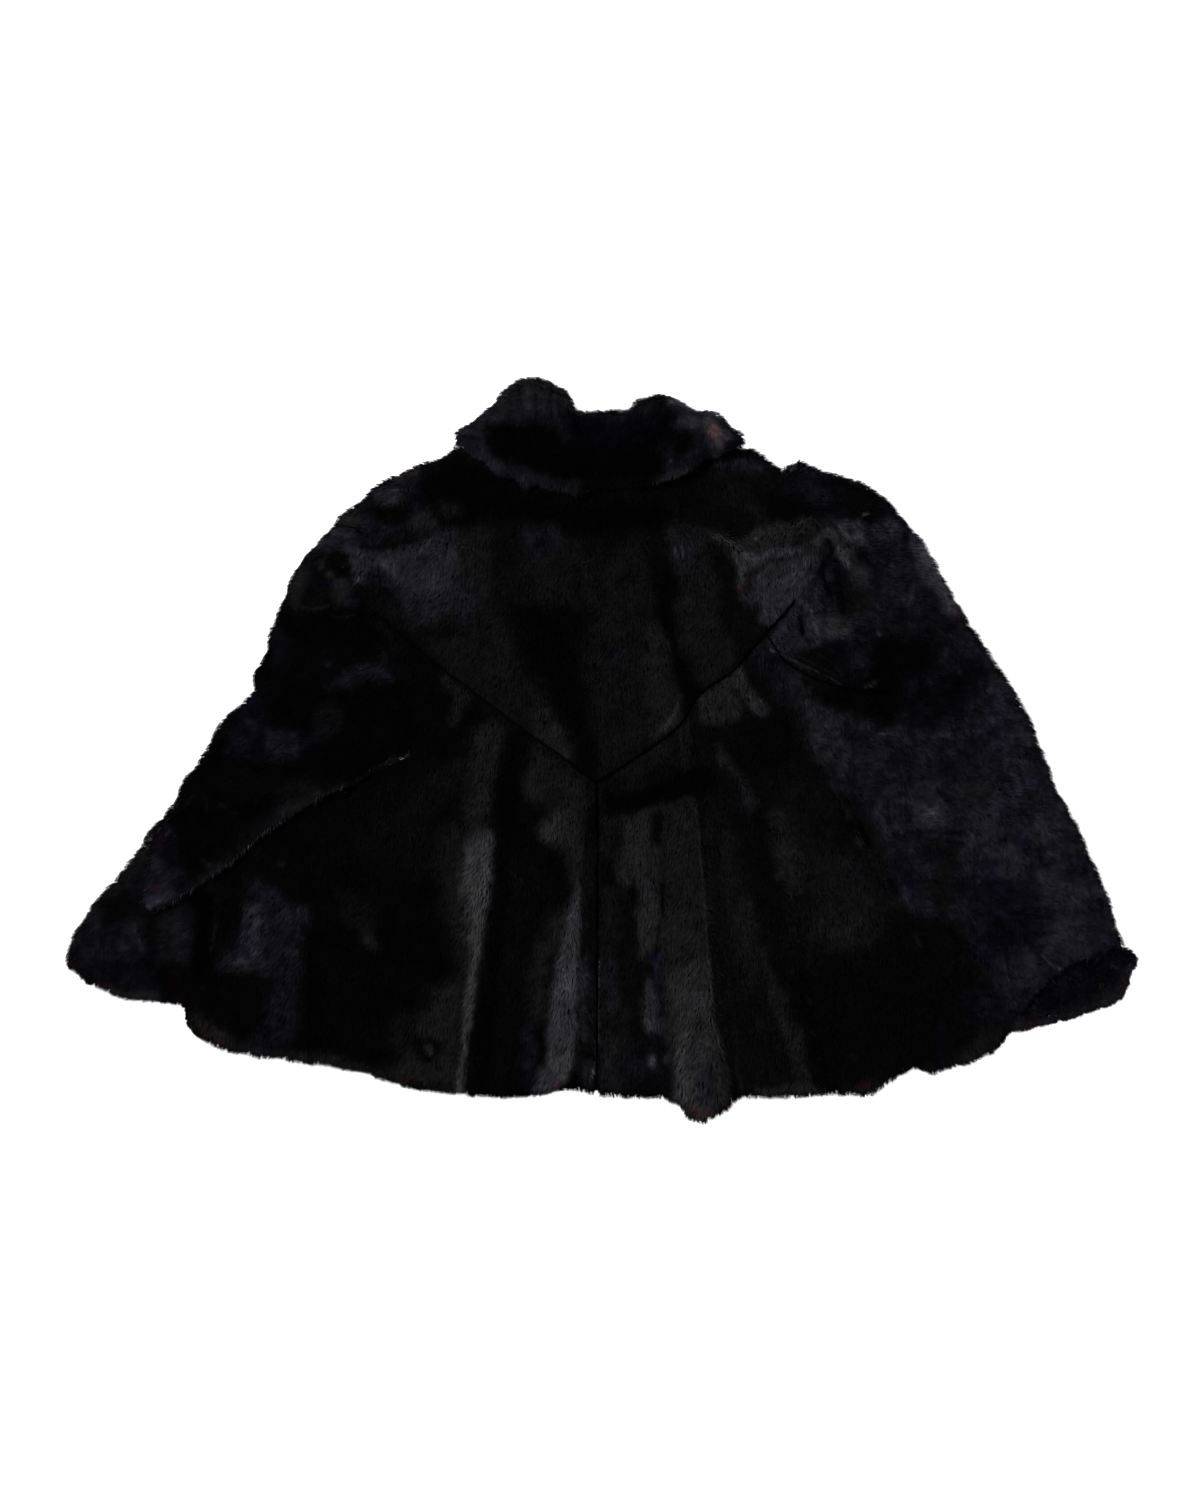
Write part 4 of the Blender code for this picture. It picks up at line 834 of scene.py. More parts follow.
# Narrow lines and spots of pile that lie over (+) or part (-), painted lighter or darker: brushed streaks of
# the nap, painted highlights along rims and crests, and painted shade in creases. Each has the reaches to the
# line's two sides, in millimetres, how light it is painted, in stops, and how blue it is
NapAndPaintedLightLine = namedtuple("NapAndPaintedLightLine", "line left right stops blue", defaults=(0.0,))
nap_and_painted_light_lines = [
    NapAndPaintedLightLine([(70, 46), (66, 34), (58, 22), (44, 12)], 2, 3, 1.3),
    NapAndPaintedLightLine([(60, 98), (66, 72), (71, 50)], 3, 1, 0.5), NapAndPaintedLightLine([(66, 182), (68, 172)], 1.5, 1.5, 1.5),
    NapAndPaintedLightLine([(72, 182), (74, 172)], 1.5, 1.5, 1.6), NapAndPaintedLightLine([(40, 96), (42, 88)], 2, 2, -1.5),
    NapAndPaintedLightLine([(-268, 127), (-256, 126), (-244, 128)], 1.5, 1.5, 1.4),
    NapAndPaintedLightLine([(-242, 121), (-232, 119), (-222, 120)], 1.5, 1.5, 2.2), NapAndPaintedLightLine([(-216, 151)], 3, 3, 1.2),
    NapAndPaintedLightLine([(-192, 66), (-188, 62)], 4, 4, 1.2), NapAndPaintedLightLine([(-244, 78)], 4, 4, 1.4),
    NapAndPaintedLightLine([(-188, -4), (-178, -8), (-166, -2)], 1.2, 1.2, 2.2),
    NapAndPaintedLightLine([(-196, -12), (-184, -8)], 1.2, 1.2, 1.2), NapAndPaintedLightLine([(-4, -72), (-4, -102)], 1, 1, 3.4),
    NapAndPaintedLightLine([(-2, -102), (-2, -118)], 1, 1, 1.5), NapAndPaintedLightLine([(-2, -190), (-2, -216)], 1, 1, 3),
    NapAndPaintedLightLine([(-2, -216), (-2, -262)], 1, 1, 1.8), NapAndPaintedLightLine([(-5, -262), (-6, -285), (-10, -298)], 1, 1, 2.2),
    NapAndPaintedLightLine([(-50, -236), (-44, -228)], 1, 1, -1), NapAndPaintedLightLine([(-90, -102), (-70, -119)], 0.8, 0.8, 1.4),
    NapAndPaintedLightLine([(-34, -182), (-22, -170)], 0.8, 0.8, -1.6),
    NapAndPaintedLightLine([(85, -52), (89, -99), (93, -150), (95, -180), (99, -220)], 1, 2.5, 1.1),
    NapAndPaintedLightLine([(54, -122), (56, -150)], 2, 2, -1.8), NapAndPaintedLightLine([(30, -116), (28, -132)], 2, 2, -1.5),
    NapAndPaintedLightLine([(52, -160), (50, -182)], 2, 2, -1.2),
    NapAndPaintedLightLine([(97, -236), (104, -256), (112, -280), (117, -300)], 2, 1, 0.9),
    NapAndPaintedLightLine([(206, -30), (213, -44), (222, -60)], 1.5, 1.5, 0.8), NapAndPaintedLightLine([(222, -62), (222, -54)], 3, 3, 1),
    NapAndPaintedLightLine([(230, -80), (242, -96), (250, -108), (256, -122)], 3, 3, 0.5),
    NapAndPaintedLightLine([(232, -66), (240, -86)], 3, 3, -2.2), NapAndPaintedLightLine([(260, -118), (264, -126)], 3, 3, -1.8),
    NapAndPaintedLightLine([(232, -83)], 4, 4, 1.4), NapAndPaintedLightLine([(282, -168), (286, -176)], 3, 3, 1.6),
    NapAndPaintedLightLine([(289, -170)], 2, 2, -1), NapAndPaintedLightLine([(186, -222), (188, -230)], 1.5, 1.5, 2),
    NapAndPaintedLightLine([(240, 212), (234, 210)], 1.2, 1.2, 4.5), NapAndPaintedLightLine([(136, 188), (140, 189)], 0.8, 0.8, 2.5),
    NapAndPaintedLightLine([(178, 118), (180, 104)], 2.5, 2.5, -3.2), NapAndPaintedLightLine([(180, 108), (186, 96)], 2, 2, -1),
    NapAndPaintedLightLine([(172, 150), (180, 158), (184, 172)], 3, 3, 0.5),
    NapAndPaintedLightLine([(152, 89), (165, 83), (185, 74), (205, 64), (216, 58)], 1.2, 1.2, 2.2),
    NapAndPaintedLightLine([(176, 84), (196, 74), (210, 66)], 1, 1, 1.6),
    NapAndPaintedLightLine([(190, 88), (206, 78), (216, 66)], 1, 1, 1.3),
    NapAndPaintedLightLine([(236, 56), (242, 58), (246, 62)], 1.5, 1.5, 3.2), NapAndPaintedLightLine([(252, 15)], 2.5, 2.5, 2.4),
    NapAndPaintedLightLine([(248, 104)], 2.5, 2.5, 3.2), NapAndPaintedLightLine([(298, -55)], 5, 5, 0.9), NapAndPaintedLightLine([(311, -45)], 4, 4, -1.6),
    NapAndPaintedLightLine([(316, -74), (326, -74)], 3, 2, -1.6), NapAndPaintedLightLine([(310, -82), (324, -84)], 1.5, 1.5, -1.6),
    NapAndPaintedLightLine([(353, -84), (360, -80)], 2, 2, -1.5), NapAndPaintedLightLine([(374, -92), (384, -88)], 1.5, 1.5, -1.6),
    NapAndPaintedLightLine([(404, -73), (416, -72)], 1.5, 1.5, -2), NapAndPaintedLightLine([(338, -118)], 3, 3, 1.8),
    NapAndPaintedLightLine([(396, -185), (404, -193), (416, -198)], 1.2, 1.2, 1.8),
    NapAndPaintedLightLine([(252, 100), (246, 88)], 2, 2, -1),
    NapAndPaintedLightLine([(-344, -157), (-347, -168), (-349, -179)], 3, 1.2, 1.3),
    NapAndPaintedLightLine([(-196, 240), (-184, 245)], 3, 3, 0.6), NapAndPaintedLightLine([(-286, -103)], 4, 4, 2),
    NapAndPaintedLightLine([(80, 20), (84, 5), (80, -12)], 1, 1, -1.5), NapAndPaintedLightLine([(306, -236), (305, -280)], 4, 4, 0.5, 1.4),
    NapAndPaintedLightLine([(226, -277)], 4, 4, 0.8, 1),
    NapAndPaintedLightLine([(202, 188), (206, 178), (200, 168), (198, 158), (201, 148), (205, 138)], 2, 2, -2),
    NapAndPaintedLightLine([(206, 170), (213, 168)], 2.5, 2.5, -2),
    NapAndPaintedLightLine([(211, 160), (213, 140), (216, 124)], 4, 4, -1.4),
    NapAndPaintedLightLine([(178, 134), (186, 126), (190, 116), (193, 104)], 2, 2, 1),
    NapAndPaintedLightLine([(228, 106), (238, 104)], 4, 4, -1.3),
    NapAndPaintedLightLine([(196, 136), (200, 126), (190, 122)], 1.2, 1.2, -1.2),
    NapAndPaintedLightLine([(206, 104), (220, 106)], 4, 3, 0.9),
    NapAndPaintedLightLine([(214, 198), (224, 188), (232, 192), (236, 184)], 3, 3, 0.9),
    NapAndPaintedLightLine([(212, 180), (222, 164)], 3, 3, 0.9), NapAndPaintedLightLine([(186, 148), (194, 156), (196, 164)], 1.5, 1.5, -1),
    NapAndPaintedLightLine([(246, 178), (256, 170)], 3, 3, -1),
    NapAndPaintedLightLine([(238, 206), (252, 200), (258, 190)], 1.5, 1.5, -1.2), NapAndPaintedLightLine([(268, 206), (280, 196)], 2, 2, 1),
    NapAndPaintedLightLine([(300, 172), (292, 158), (286, 150)], 1.5, 1.5, -0.9),
    NapAndPaintedLightLine([(262, 140), (276, 132)], 4, 4, 0.8),
    NapAndPaintedLightLine([(-214, 181), (-204, 180), (-192, 183)], 1.5, 1.5, -0.9, 0.6),
    NapAndPaintedLightLine([(-238, 200), (-222, 199), (-214, 192)], 1.3, 1.3, -1.4),
    NapAndPaintedLightLine([(-192, 143), (-190, 139)], 3, 3, -1.5, 0.8),
    NapAndPaintedLightLine([(-200, 162), (-198, 150), (-199, 140)], 1, 1, -1.4),
    NapAndPaintedLightLine([(-220, 153), (-212, 149)], 2, 2, 1), NapAndPaintedLightLine([(-244, 196), (-234, 192)], 2, 3, 1.2),
    NapAndPaintedLightLine([(-232, 159), (-226, 162)], 2, 2, -1, 0.8), NapAndPaintedLightLine([(-256, 170), (-250, 173)], 2, 2, -1),
    NapAndPaintedLightLine([(-252, 148), (-240, 148)], 2, 2, -0.7, 0.8),
    NapAndPaintedLightLine([(206, 202), (214, 190), (206, 176)], 1.5, 1.5, -1.2),
    NapAndPaintedLightLine([(232, 200), (222, 192)], 1.2, 1.2, -1), NapAndPaintedLightLine([(268, 184), (264, 172)], 3, 3, 0.8),
    NapAndPaintedLightLine([(275, 196), (272, 188)], 3, 3, -1.5), NapAndPaintedLightLine([(-262, -190), (-262, -275)], 2, 2, -0.5),
    NapAndPaintedLightLine([(56, 296), (50, 280)], 3, 3, -0.4),
]
# Spots of worn tips, with their reach
worn = [
    ((-172, -300), 9), ((-148, -305), 5), ((-88, -309), 6), ((-40, -302), 4), ((-8, -302), 5),
    ((474, -212), 8), ((-476, -192), 7), ((-446, -210), 9), ((-384, -206), 9), ((-378, -222), 8),
    ((-358, -253), 9), ((-340, -262), 6), ((-395, -76), 8), ((96, -328), 9), ((112, -318), 6),
    ((84, -324), 5), ((124, 145), 4), ((320, 121), 5), ((172, 256), 4), ((-172, 250), 5), ((100, 284), 8),
    ((-380, -136), 4), ((-396, -124), 4), ((-64, 10), 5), ((-48, -4), 4), ((-286, -103), 4), ((236, -302), 7),
    ((388, -248), 6)]

sheared_pile, shader = new_finish("sheared_pile")
hair_colour = Node(Node.add("ShaderNodeVertexColor", {"layer_name": "pile"}).outputs["Color"])
mottle = Node(Node.add("ShaderNodeTexNoise", Scale=260.0, Detail=2.0,
                       Vector=Node(Node.add("ShaderNodeTexCoord").outputs["Object"])).outputs["Fac"])
mottled = Node.add("ShaderNodeVectorMath", {"operation": "SCALE"}, i0=hair_colour, Scale=mottle * 1.2 + 0.4)
Node.tree.links.new(mottled.outputs[0], shader.inputs["Base Color"])
Node.tree.links.new((mottle * 0.2 + 0.42).socket, shader.inputs["Roughness"])
shader.inputs["Specular IOR Level"].default_value = 0.0
shader.inputs["Sheen Weight"].default_value = 0.2
shader.inputs["Sheen Roughness"].default_value = 0.3
shader.inputs["Sheen Tint"].default_value = (0.8, 0.8, 0.84, 1.0)


def unit(vectors):
    return vectors / np.maximum(np.linalg.norm(vectors, axis=1, keepdims=True), 1e-9)


def within(outline, places, soft):
    """1 inside the outline and 0 outside it, easing over its edge."""
    corners = smooth_line([*outline, outline[0]])
    inside, best = np.zeros(len(places), bool), np.full(len(places), np.inf)
    for start, end in zip(corners, corners[1:]):
        run = end - start
        share = np.clip((places - start) @ run / max(run @ run, 1e-9), 0, 1)
        best = np.minimum(best, np.hypot(*(places - start - share[:, None] * run).T))
        if start[1] != end[1]:
            level = (places[:, 1] - start[1]) / run[1]
            inside ^= ((start[1] > places[:, 1]) != (end[1] > places[:, 1])) & (
                places[:, 0] < start[0] + level * run[0])
    return eased(0.5 + np.where(inside, best, -best) / (3.4 * soft))


def blue_share(plan):
    """0 on the middle of the back, 1 on the shoulders and arms."""
    return eased((np.abs(plan[:, 0] - 20) - 120) / 120) + 0.5 * eased((plan[:, 1] - 180) / 60)


def nap_and_painted_light_tones(plan, blue, areas):
    """How light and how blue the pile is painted at each plan place, nap tone and painted light and shade
    together, by the areas there, whose edges are frayed.
    """
    stops = np.zeros(len(plan))
    fray = 2.6 * np.stack((clouds(plan, 11, 21), clouds(plan, 11, 22)), 1)
    fray += 1.2 * np.stack((clouds(plan, 4, 23), clouds(plan, 4, 24)), 1)
    for area in areas:
        corners = np.array(area.outline, float)
        margin = 2 * area.soft + 5
        frayed = plan + fray * min(1.4, area.soft / 4)
        some = around(frayed, corners, margin)
        if len(some):
            share = within(area.outline, frayed[some], area.soft)
            stops[some] += (area.stops - stops[some]) * share
            blue[some] += (area.blue - blue[some]) * share
    return stops, blue


def pile_colours(plan, blue, areas, patches):
    """The colour of the hair at each plan place, with its painted light and shade, which is this blue where
    no area says otherwise.
    """
    stops, blue = nap_and_painted_light_tones(plan, blue, areas)
    stops += (0.5 + 0.6 * np.clip(blue, 0, 1)) * (
        0.3 * clouds(plan, 20, 12) + 0.5 * clouds(plan, 9, 14) + 0.45 * clouds(plan, 4.5, 15))

    # the sides are crinkled: thin painted lines, of shade in the crinkles' creases and of highlight on their
    # crests, stronger where the pile is painted lighter
    crinkle_painted_light = eased((np.abs(plan[:, 0] + 15) - 170) / 30) * np.clip(0.7 * blue + stops / 6, 0, 1)
    stops -= 0.9 * crinkle_painted_light * np.exp(-(clouds(plan, 15, 16) / 0.1) ** 2)
    stops += 0.6 * crinkle_painted_light * np.exp(-(clouds(plan, 12, 17) / 0.09) ** 2)
    blue += 0.3 * clouds(plan, 24, 13)
    for patch in patches:
        line = smooth_line(patch.line)
        some = around(plan, line, 2 * max(patch.left, patch.right))
        if len(some):
            offset, _, _ = beside(line, plan[some])
            share = np.exp(-(offset / np.where(offset > 0, patch.right, patch.left)) ** 2 * 1.4)
            stops[some] += patch.stops * share
            blue[some] += patch.blue * share
    blue = np.clip(blue, 0, 1.3)[:, None]
    colours = np.array(warm_black) * (1 - blue) + np.array(blue_black) * blue
    colours += np.array(violet) * np.clip((blue - 0.95) / 0.35, 0, 1)
    colours *= 2 ** stops[:, None]
    for middle, reach in worn:
        near = np.exp(-(np.linalg.norm(plan - middle, axis=1) / reach) ** 2 * 1.4)[:, None]
        colours *= 1 + (np.array(worn_tint) - 1) * near
    return colours


def scattered_roots(rng, skin, hairs, under):
    """Where the hairs grow from the skin's face, and which way is out there. A turned side grows fewer."""
    corners = skin.places[skin.triangles]
    sides = corners[:, 1:] - corners[:, :1]
    area = 0.5 * np.linalg.norm(np.cross(sides[:, 0], sides[:, 1]), axis=1)
    facing = skin.normals[skin.triangles].mean(1)[:, 2]
    weight = area * np.where(facing < -0.3, under, 1.0)
    chosen = rng.choice(len(area), hairs, p=weight / weight.sum())
    a, b = np.sqrt(rng.random(hairs)), rng.random(hairs)
    share = np.stack((1 - a, a * (1 - b), a * b), 1)[:, :, None]
    return (corners[chosen] * share).sum(1), unit((skin.normals[skin.triangles[chosen]] * share).sum(1))


def edge_roots(rng, skin):
    """The same for the cut edge of the skin, where it is free."""
    ends = skin.places[skin.hem]
    length = np.linalg.norm(ends[:, 1] - ends[:, 0], axis=1)
    hairs = int(length.sum() / mm * hem_hairs)
    edge = rng.choice(len(length), hairs, p=length / length.sum())
    along = rng.random(hairs)[:, None]
    middle = ends[edge, 0] * (1 - along) + ends[edge, 1] * along
    up = unit(skin.normals[skin.hem[edge]].mean(1))
    out = unit(np.cross(unit(ends[edge, 1] - ends[edge, 0]), up))
    inner = skin.places[skin.triangles].mean(1)
    tree = KDTree(len(inner))
    for i, place in enumerate(inner):
        tree.insert(place, i)
    tree.balance()
    inside = np.array([inner[tree.find(m)[1]] for m in ends.mean(1)])[edge]
    out *= np.where(((inside - middle) * out).sum(1, keepdims=True) > 0, -1.0, 1.0)
    deep = rng.random(hairs)[:, None]
    return middle - up * deep * skin_thick * mm, unit(out + up * (0.7 - 1.3 * deep))


def hair_map(plan):
    """Each hair's own small triangle on the piece's map, near its neighbours'."""
    count = len(plan)
    rows = int(np.ceil(np.sqrt(count)))
    order = np.argsort(plan[:, 1])
    row, column = np.empty(count, int), np.empty(count, int)
    row[order] = np.arange(count) // rows
    order = np.lexsort((plan[:, 0], row))
    column[order] = np.arange(count) - np.searchsorted(row[order], row[order])
    return (np.stack((column, row), 1)[:, None] + np.array([(0.15, 0.15), (0.85, 0.15), (0.5, 0.85)])) / rows


def grow_pile(name, skin, hairs, seed, nap, areas, patches, parted, under, wide, turned_up):
    """Hairs on a skin, as narrow blades that lean away from the plan point nap. If parted, they part at the
    seams. Within turned_up of its free edge, a piece that lies below shows its pile on the upper side too."""
    rng = np.random.default_rng(seed)
    roots, normals = scattered_roots(rng, skin, hairs, under)
    if len(skin.hem):
        more_roots, more_normals = edge_roots(rng, skin)
        roots, normals = np.vstack((roots, more_roots)), np.vstack((normals, more_normals))
    turned = 0
    if turned_up:
        tree = KDTree(len(skin.hem))
        for i, place in enumerate(skin.places[skin.hem].mean(1)):
            tree.insert(place, i)
        tree.balance()
        near = np.array([tree.find(root)[2] < turned_up * mm for root in roots])
        above = np.repeat(roots[near], turned_repeats, 0)
        turned = len(above)
        above[:, :2] += rng.uniform(-1.5, 1.5, (turned, 2)) * mm
        above[:, 2] += (skin_thick + 0.3) * mm
        roots = np.vstack((roots, above))
        normals = np.vstack((normals, unit(np.repeat(normals[near], turned_repeats, 0) * (0.3, 0.3, -1))))
    count = len(roots)
    plan = roots[:, :2] / mm

    # down the cape, swirled a little, leaning off the skin
    down = plan - np.array(nap)
    turn = 0.45 * clouds(plan, 23, seed + 1) + 0.35 * clouds(plan, 7, seed + 2) + rng.normal(0, 0.2, count)
    turn += np.arctan2(down[:, 1], down[:, 0])
    tangent = np.stack((np.cos(turn), np.sin(turn), np.zeros(count)), 1)
    tangent = unit(tangent - normals * (tangent * normals).sum(1, keepdims=True))
    lean = (0.72 + 0.22 * clouds(plan, 10, seed + 3) + rng.normal(0, 0.14, count))[:, None]
    run = tangent * np.cos(lean) + normals * np.sin(lean)
    length = hair_long * rng.uniform(0.75, 1.15, count) * (1 + 0.16 * clouds(plan, 12, seed + 4))
    if parted:
        far = to_seam(plan)
        length *= 0.3 + 0.7 * eased((far - 0.3) / 4.5)
    tips = roots + run * length[:, None] * mm

    # tips draw together into tufts
    cell = np.floor(plan / tuft_size)
    jitter = np.random.default_rng(seed + 5).random((128, 128, 2))
    column, row = cell.T.astype(int) % 128
    middle = (cell + 0.15 + 0.7 * jitter[column, row]) * tuft_size
    tips[:, :2] += (middle - plan) * tuft_pull * mm
    tips[:, 2] = np.maximum(tips[:, 2], 0.3 * mm)

    # no hair crosses a seam
    if parted:
        near = np.flatnonzero(far < 9)
        steps = np.linspace(0, 1, 7)[1:]
        gaps = np.stack([to_seam((roots[near] * (1 - s) + tips[near] * s)[:, :2] / mm) for s in steps])
        kept = np.where(gaps.min(0) < 0.7, np.maximum(steps[gaps.argmin(0)] - 0.15, 0.15), 1.0)[:, None]
        tips[near] = roots[near] * (1 - kept) + tips[near] * kept

    # the blades, rolled a little, and the light they take from the pile's face around them
    across = unit(np.cross(run, normals))
    roll = rng.normal(0, 0.45, count)[:, None]
    across = across * np.cos(roll) + np.cross(run, across) * np.sin(roll)
    half = (hair_wide * wide * rng.uniform(0.7, 1.3, count))[:, None] * mm / 2
    half[count - turned:] *= turned_width
    places = np.stack((roots - across * half, roots + across * half, tips), 1)
    places[..., 2] = np.maximum(places[..., 2], 0.2 * mm)
    flat = unit(np.cross(across, run))
    flat *= np.where((flat * normals).sum(1, keepdims=True) < 0, -1.0, 1.0)
    upright = np.sign(normals[:, 2:]) * (0.65 - 0.35 * np.abs(normals[:, 2:]))
    shading = unit(normals * 0.7 + (0, 0, 1) * upright + flat * 0.12 + run * 0.08)

    # darker at the roots, and a painted shade, darkest in a seam, where the pile parts into a groove
    seen = (roots * 0.45 + tips * 0.55)[:, :2] / mm
    colours = pile_colours(seen, blue_share(plan), areas, patches) * rng.uniform(0.72, 1.3, count)[:, None]
    shades = np.stack((colours * 0.45, colours * 0.45, colours * 1.15), 1)
    if parted:
        shades[:, :2] *= 1 - 0.85 * np.exp(-(far[:, None, None] / 1.3) ** 2)
        shades[:, 2] *= 1 - 0.85 * np.exp(-(to_seam(tips[:, :2] / mm)[:, None] / 0.8) ** 2)

    mesh = bpy.data.meshes.new(name)
    mesh.vertices.add(3 * count)
    mesh.vertices.foreach_set("co", places.astype(np.float32).ravel())
    mesh.loops.add(3 * count)
    mesh.loops.foreach_set("vertex_index", np.arange(3 * count, dtype=np.int32))
    mesh.polygons.add(count)
    mesh.polygons.foreach_set("loop_start", np.arange(0, 3 * count, 3, dtype=np.int32))
    mesh.update()
    own_map = mesh.uv_layers.new(name="OFBake")
    own_map.uv.foreach_set("vector", hair_map(plan).astype(np.float32).ravel())
    pile = mesh.color_attributes.new("pile", "FLOAT_COLOR", "POINT")
    shades = np.concatenate((shades, np.ones((count, 3, 1))), 2)
    pile.data.foreach_set("color", shades.astype(np.float32).ravel())
    mesh.shade_smooth()
    mesh.normals_split_custom_set_from_vertices(np.repeat(shading, 3, 0))
    mesh.materials.append(sheared_pile)
    fur = bpy.data.objects.new(name, mesh)
    bpy.context.scene.collection.objects.link(fur)
    return fur


def make_piece(name, height, hairs, seed, areas=(), patches=(), nap=(0, 700), parted=False,
               base=0.0, below=False, wide=1.0, turned_up=0):
    """One piece of the cape: its skin with its pile, in place of its solid."""
    skin = cut_skin(name, height, base, below)
    fur = grow_pile(name + "_fur", skin, hairs, seed, nap, areas, patches, parted,
                    1.0 if below else under_share, wide, turned_up)
    for ob in (skin.object, fur):
        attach(ob, "root")
    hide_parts(name)


make_piece("yoke_back", back_height, 92000, 100,
           [*yoke_nap_and_painted_light, *left_shoulder_nap_and_painted_light, *sides_nap_and_painted_light], nap_and_painted_light_lines, (0, 900), parted=True)
for name, hairs, seed, flat, area in (("back_left", 100000, 200, (0.34, 0.42), 0.102),
                                      ("back_right", 88000, 300, (0.3, 0.45), 0.0925)):
    make_piece(name, back_height, hairs, seed, [*back_nap_and_painted_light, *sides_nap_and_painted_light], nap_and_painted_light_lines,
               parted=True)

# ---- The shoulders ---------------------------------------------------------------------------------------
# Two caps of the same fur, gathered a little, set into the armhole seams and turned under at the cape's
# outline. Their pile leans out and down from the collar.
# All the areas of nap tone with painted light and shade, for pieces that span several of them
laid = [*yoke_nap_and_painted_light, *left_shoulder_nap_and_painted_light, *back_nap_and_painted_light, *sides_nap_and_painted_light]
for name, hairs, seed, flat, area, nap in (("shoulder_left", 36000, 400, (0.16, 0.21), 0.026, (60, 420)),
                                           ("shoulder_right", 42000, 500, (0.21, 0.22), 0.044, (-60, 420))):
    make_piece(name, back_height, hairs, seed, laid, nap_and_painted_light_lines, nap, parted=True)

# ---- The left arm ----------------------------------------------------------------------------------------
# One panel of the same fur that hangs from the shoulder cap. It is lifted in a drape that lies diagonally
# over the back, and its hem corner comes out from under that.
drape_lift, drape_flat, drape_reach, drape_start = 11.0, 24.0, 85.0, 70.0
# Painted light on the end of the flap, where the lamp lights it, over its nap tone
flap_nap_and_painted_light = [
    Area([(-404, -66), (-384, -66), (-374, -92), (-366, -118), (-384, -130), (-404, -144), (-414, -136),
          (-406, -112)], dull, 3, 1.2),
    Area([(-404, -98), (-392, -96), (-384, -110), (-380, -128), (-404, -142), (-411, -134), (-404, -114)],
         pale, 3, 0.9),
]
# A painted highlight along the rolled rim of the drape, and smaller painted streaks of light on the flap
flap_nap_and_painted_light_lines = [
    NapAndPaintedLightLine([(-229, -34), (-260, -49), (-280, -58), (-290, -65), (-300, -74), (-312, -87), (-321, -97),
             (-332, -102), (-350, -113), (-370, -127), (-400, -140), (-406, -145)], 9, 2, 1.8),
    NapAndPaintedLightLine([(-356, -119), (-372, -128), (-400, -140)], 5, 2, 0.2),
    NapAndPaintedLightLine([(-357, -98), (-348, -104)], 2, 2, 2.4),
    NapAndPaintedLightLine([(-388, -76), (-385, -72), (-381, -78)], 1, 1, 3), NapAndPaintedLightLine([(-340, -48), (-334, -52)], 1, 1, 1.6),
    NapAndPaintedLightLine([(-332, -56), (-326, -57)], 1, 1, 1.8), NapAndPaintedLightLine([(-354, -44), (-352, -54)], 3, 3, 1.6),
    NapAndPaintedLightLine([(-384, -56), (-372, -50), (-364, -40)], 2, 2, 1.4),
]
# The hem corner's nap tone with its painted light and shade
hem_left_nap_and_painted_light = [
    Area([(-480, -220), (-480, -150), (-400, -50), (-360, -110), (-350, -230), (-420, -240)], faint, 4, 0.8),
    Area([(-398, -60), (-412, -78), (-424, -98), (-442, -120), (-462, -148), (-476, -172), (-464, -174),
          (-446, -148), (-424, -120), (-408, -100), (-402, -82)], mild, 3, 0.1),
    Area([(-468, -160), (-452, -152), (-420, -160), (-416, -186), (-446, -192), (-470, -184)], mild, 5, 1),
    Area([(-452, -134), (-424, -132), (-414, -152), (-440, -156)], shaded, 6, 0.5),
    Area([(-410, -150), (-398, -148), (-398, -186), (-406, -184)], dull, 2, 0.1),
    Area([(-398, -148), (-372, -144), (-366, -170), (-372, -192), (-396, -188)], mild, 4, 0.6),
    Area([(-446, -190), (-402, -186), (-388, -210), (-400, -220), (-440, -212)], dull, 4, 1.2),
    Area([(-444, -210), (-416, -218), (-398, -218), (-398, -228), (-424, -228), (-440, -220)], light, 3, 0.2),
    Area([(-392, -194), (-368, -196), (-364, -230), (-380, -232), (-394, -218)], shaded, 3, 0.4),
    # painted shadow under the drape's edge
    Area([(-368, -130), (-325, -128), (-330, -150), (-340, -170), (-350, -204), (-366, -204), (-362, -160)],
         hidden, 4),
]
hem_left_nap_and_painted_light_lines = [
    NapAndPaintedLightLine([(-418, -156), (-414, -170), (-410, -184)], 4, 1.5, 1.1), NapAndPaintedLightLine([(-372, -168)], 2, 2, 1.5),
]


def drape_height(places, fine=True):
    """The back's height, and the lift along the drape's edge."""
    offset, _, down = beside(smooth_line(drape_line), places)
    lifted = 1 - eased((np.abs(offset) - drape_flat) / (drape_reach - drape_flat))
    return back_height(places, fine) + drape_lift * lifted * eased(down / drape_start)


make_piece("arm_left", drape_height, 46000, 600, [*laid, *flap_nap_and_painted_light],
           [*nap_and_painted_light_lines, *flap_nap_and_painted_light_lines], (100, 420), parted=True)
make_piece("arm_hem_left", back_height, 30000, 700, hem_left_nap_and_painted_light,
           hem_left_nap_and_painted_light_lines, (100, 420), parted=True)

# ---- The right arm ---------------------------------------------------------------------------------------
# One panel of the same fur, spread flat from the shoulder cap down to its hem and turned under at the cape's
# outline.
make_piece("arm_right", back_height, 92000, 800, laid, nap_and_painted_light_lines, (-100, 420),
           parted=True)

# ---- The fronts ------------------------------------------------------------------------------------------
# Two plain fronts of the same fur, open between their centre edges. They lie underneath, fur side down, and
# the right one's hem is turned up at its corner in a band that shows.
flat_rest = 9.0
# The turned-up band, painted dark where it lies in shade beyond the back's hem, with a strip painted lighter
# along its rolled edge
band_nap_and_painted_light = [
    Area([(350, -180), (490, -150), (490, -230), (350, -260)], dull, 4, 1.4),
    Area([(356, -240), (400, -236), (450, -218), (474, -196), (486, -200), (470, -225), (400, -250),
          (356, -262)], light, 4, 0.5),
]


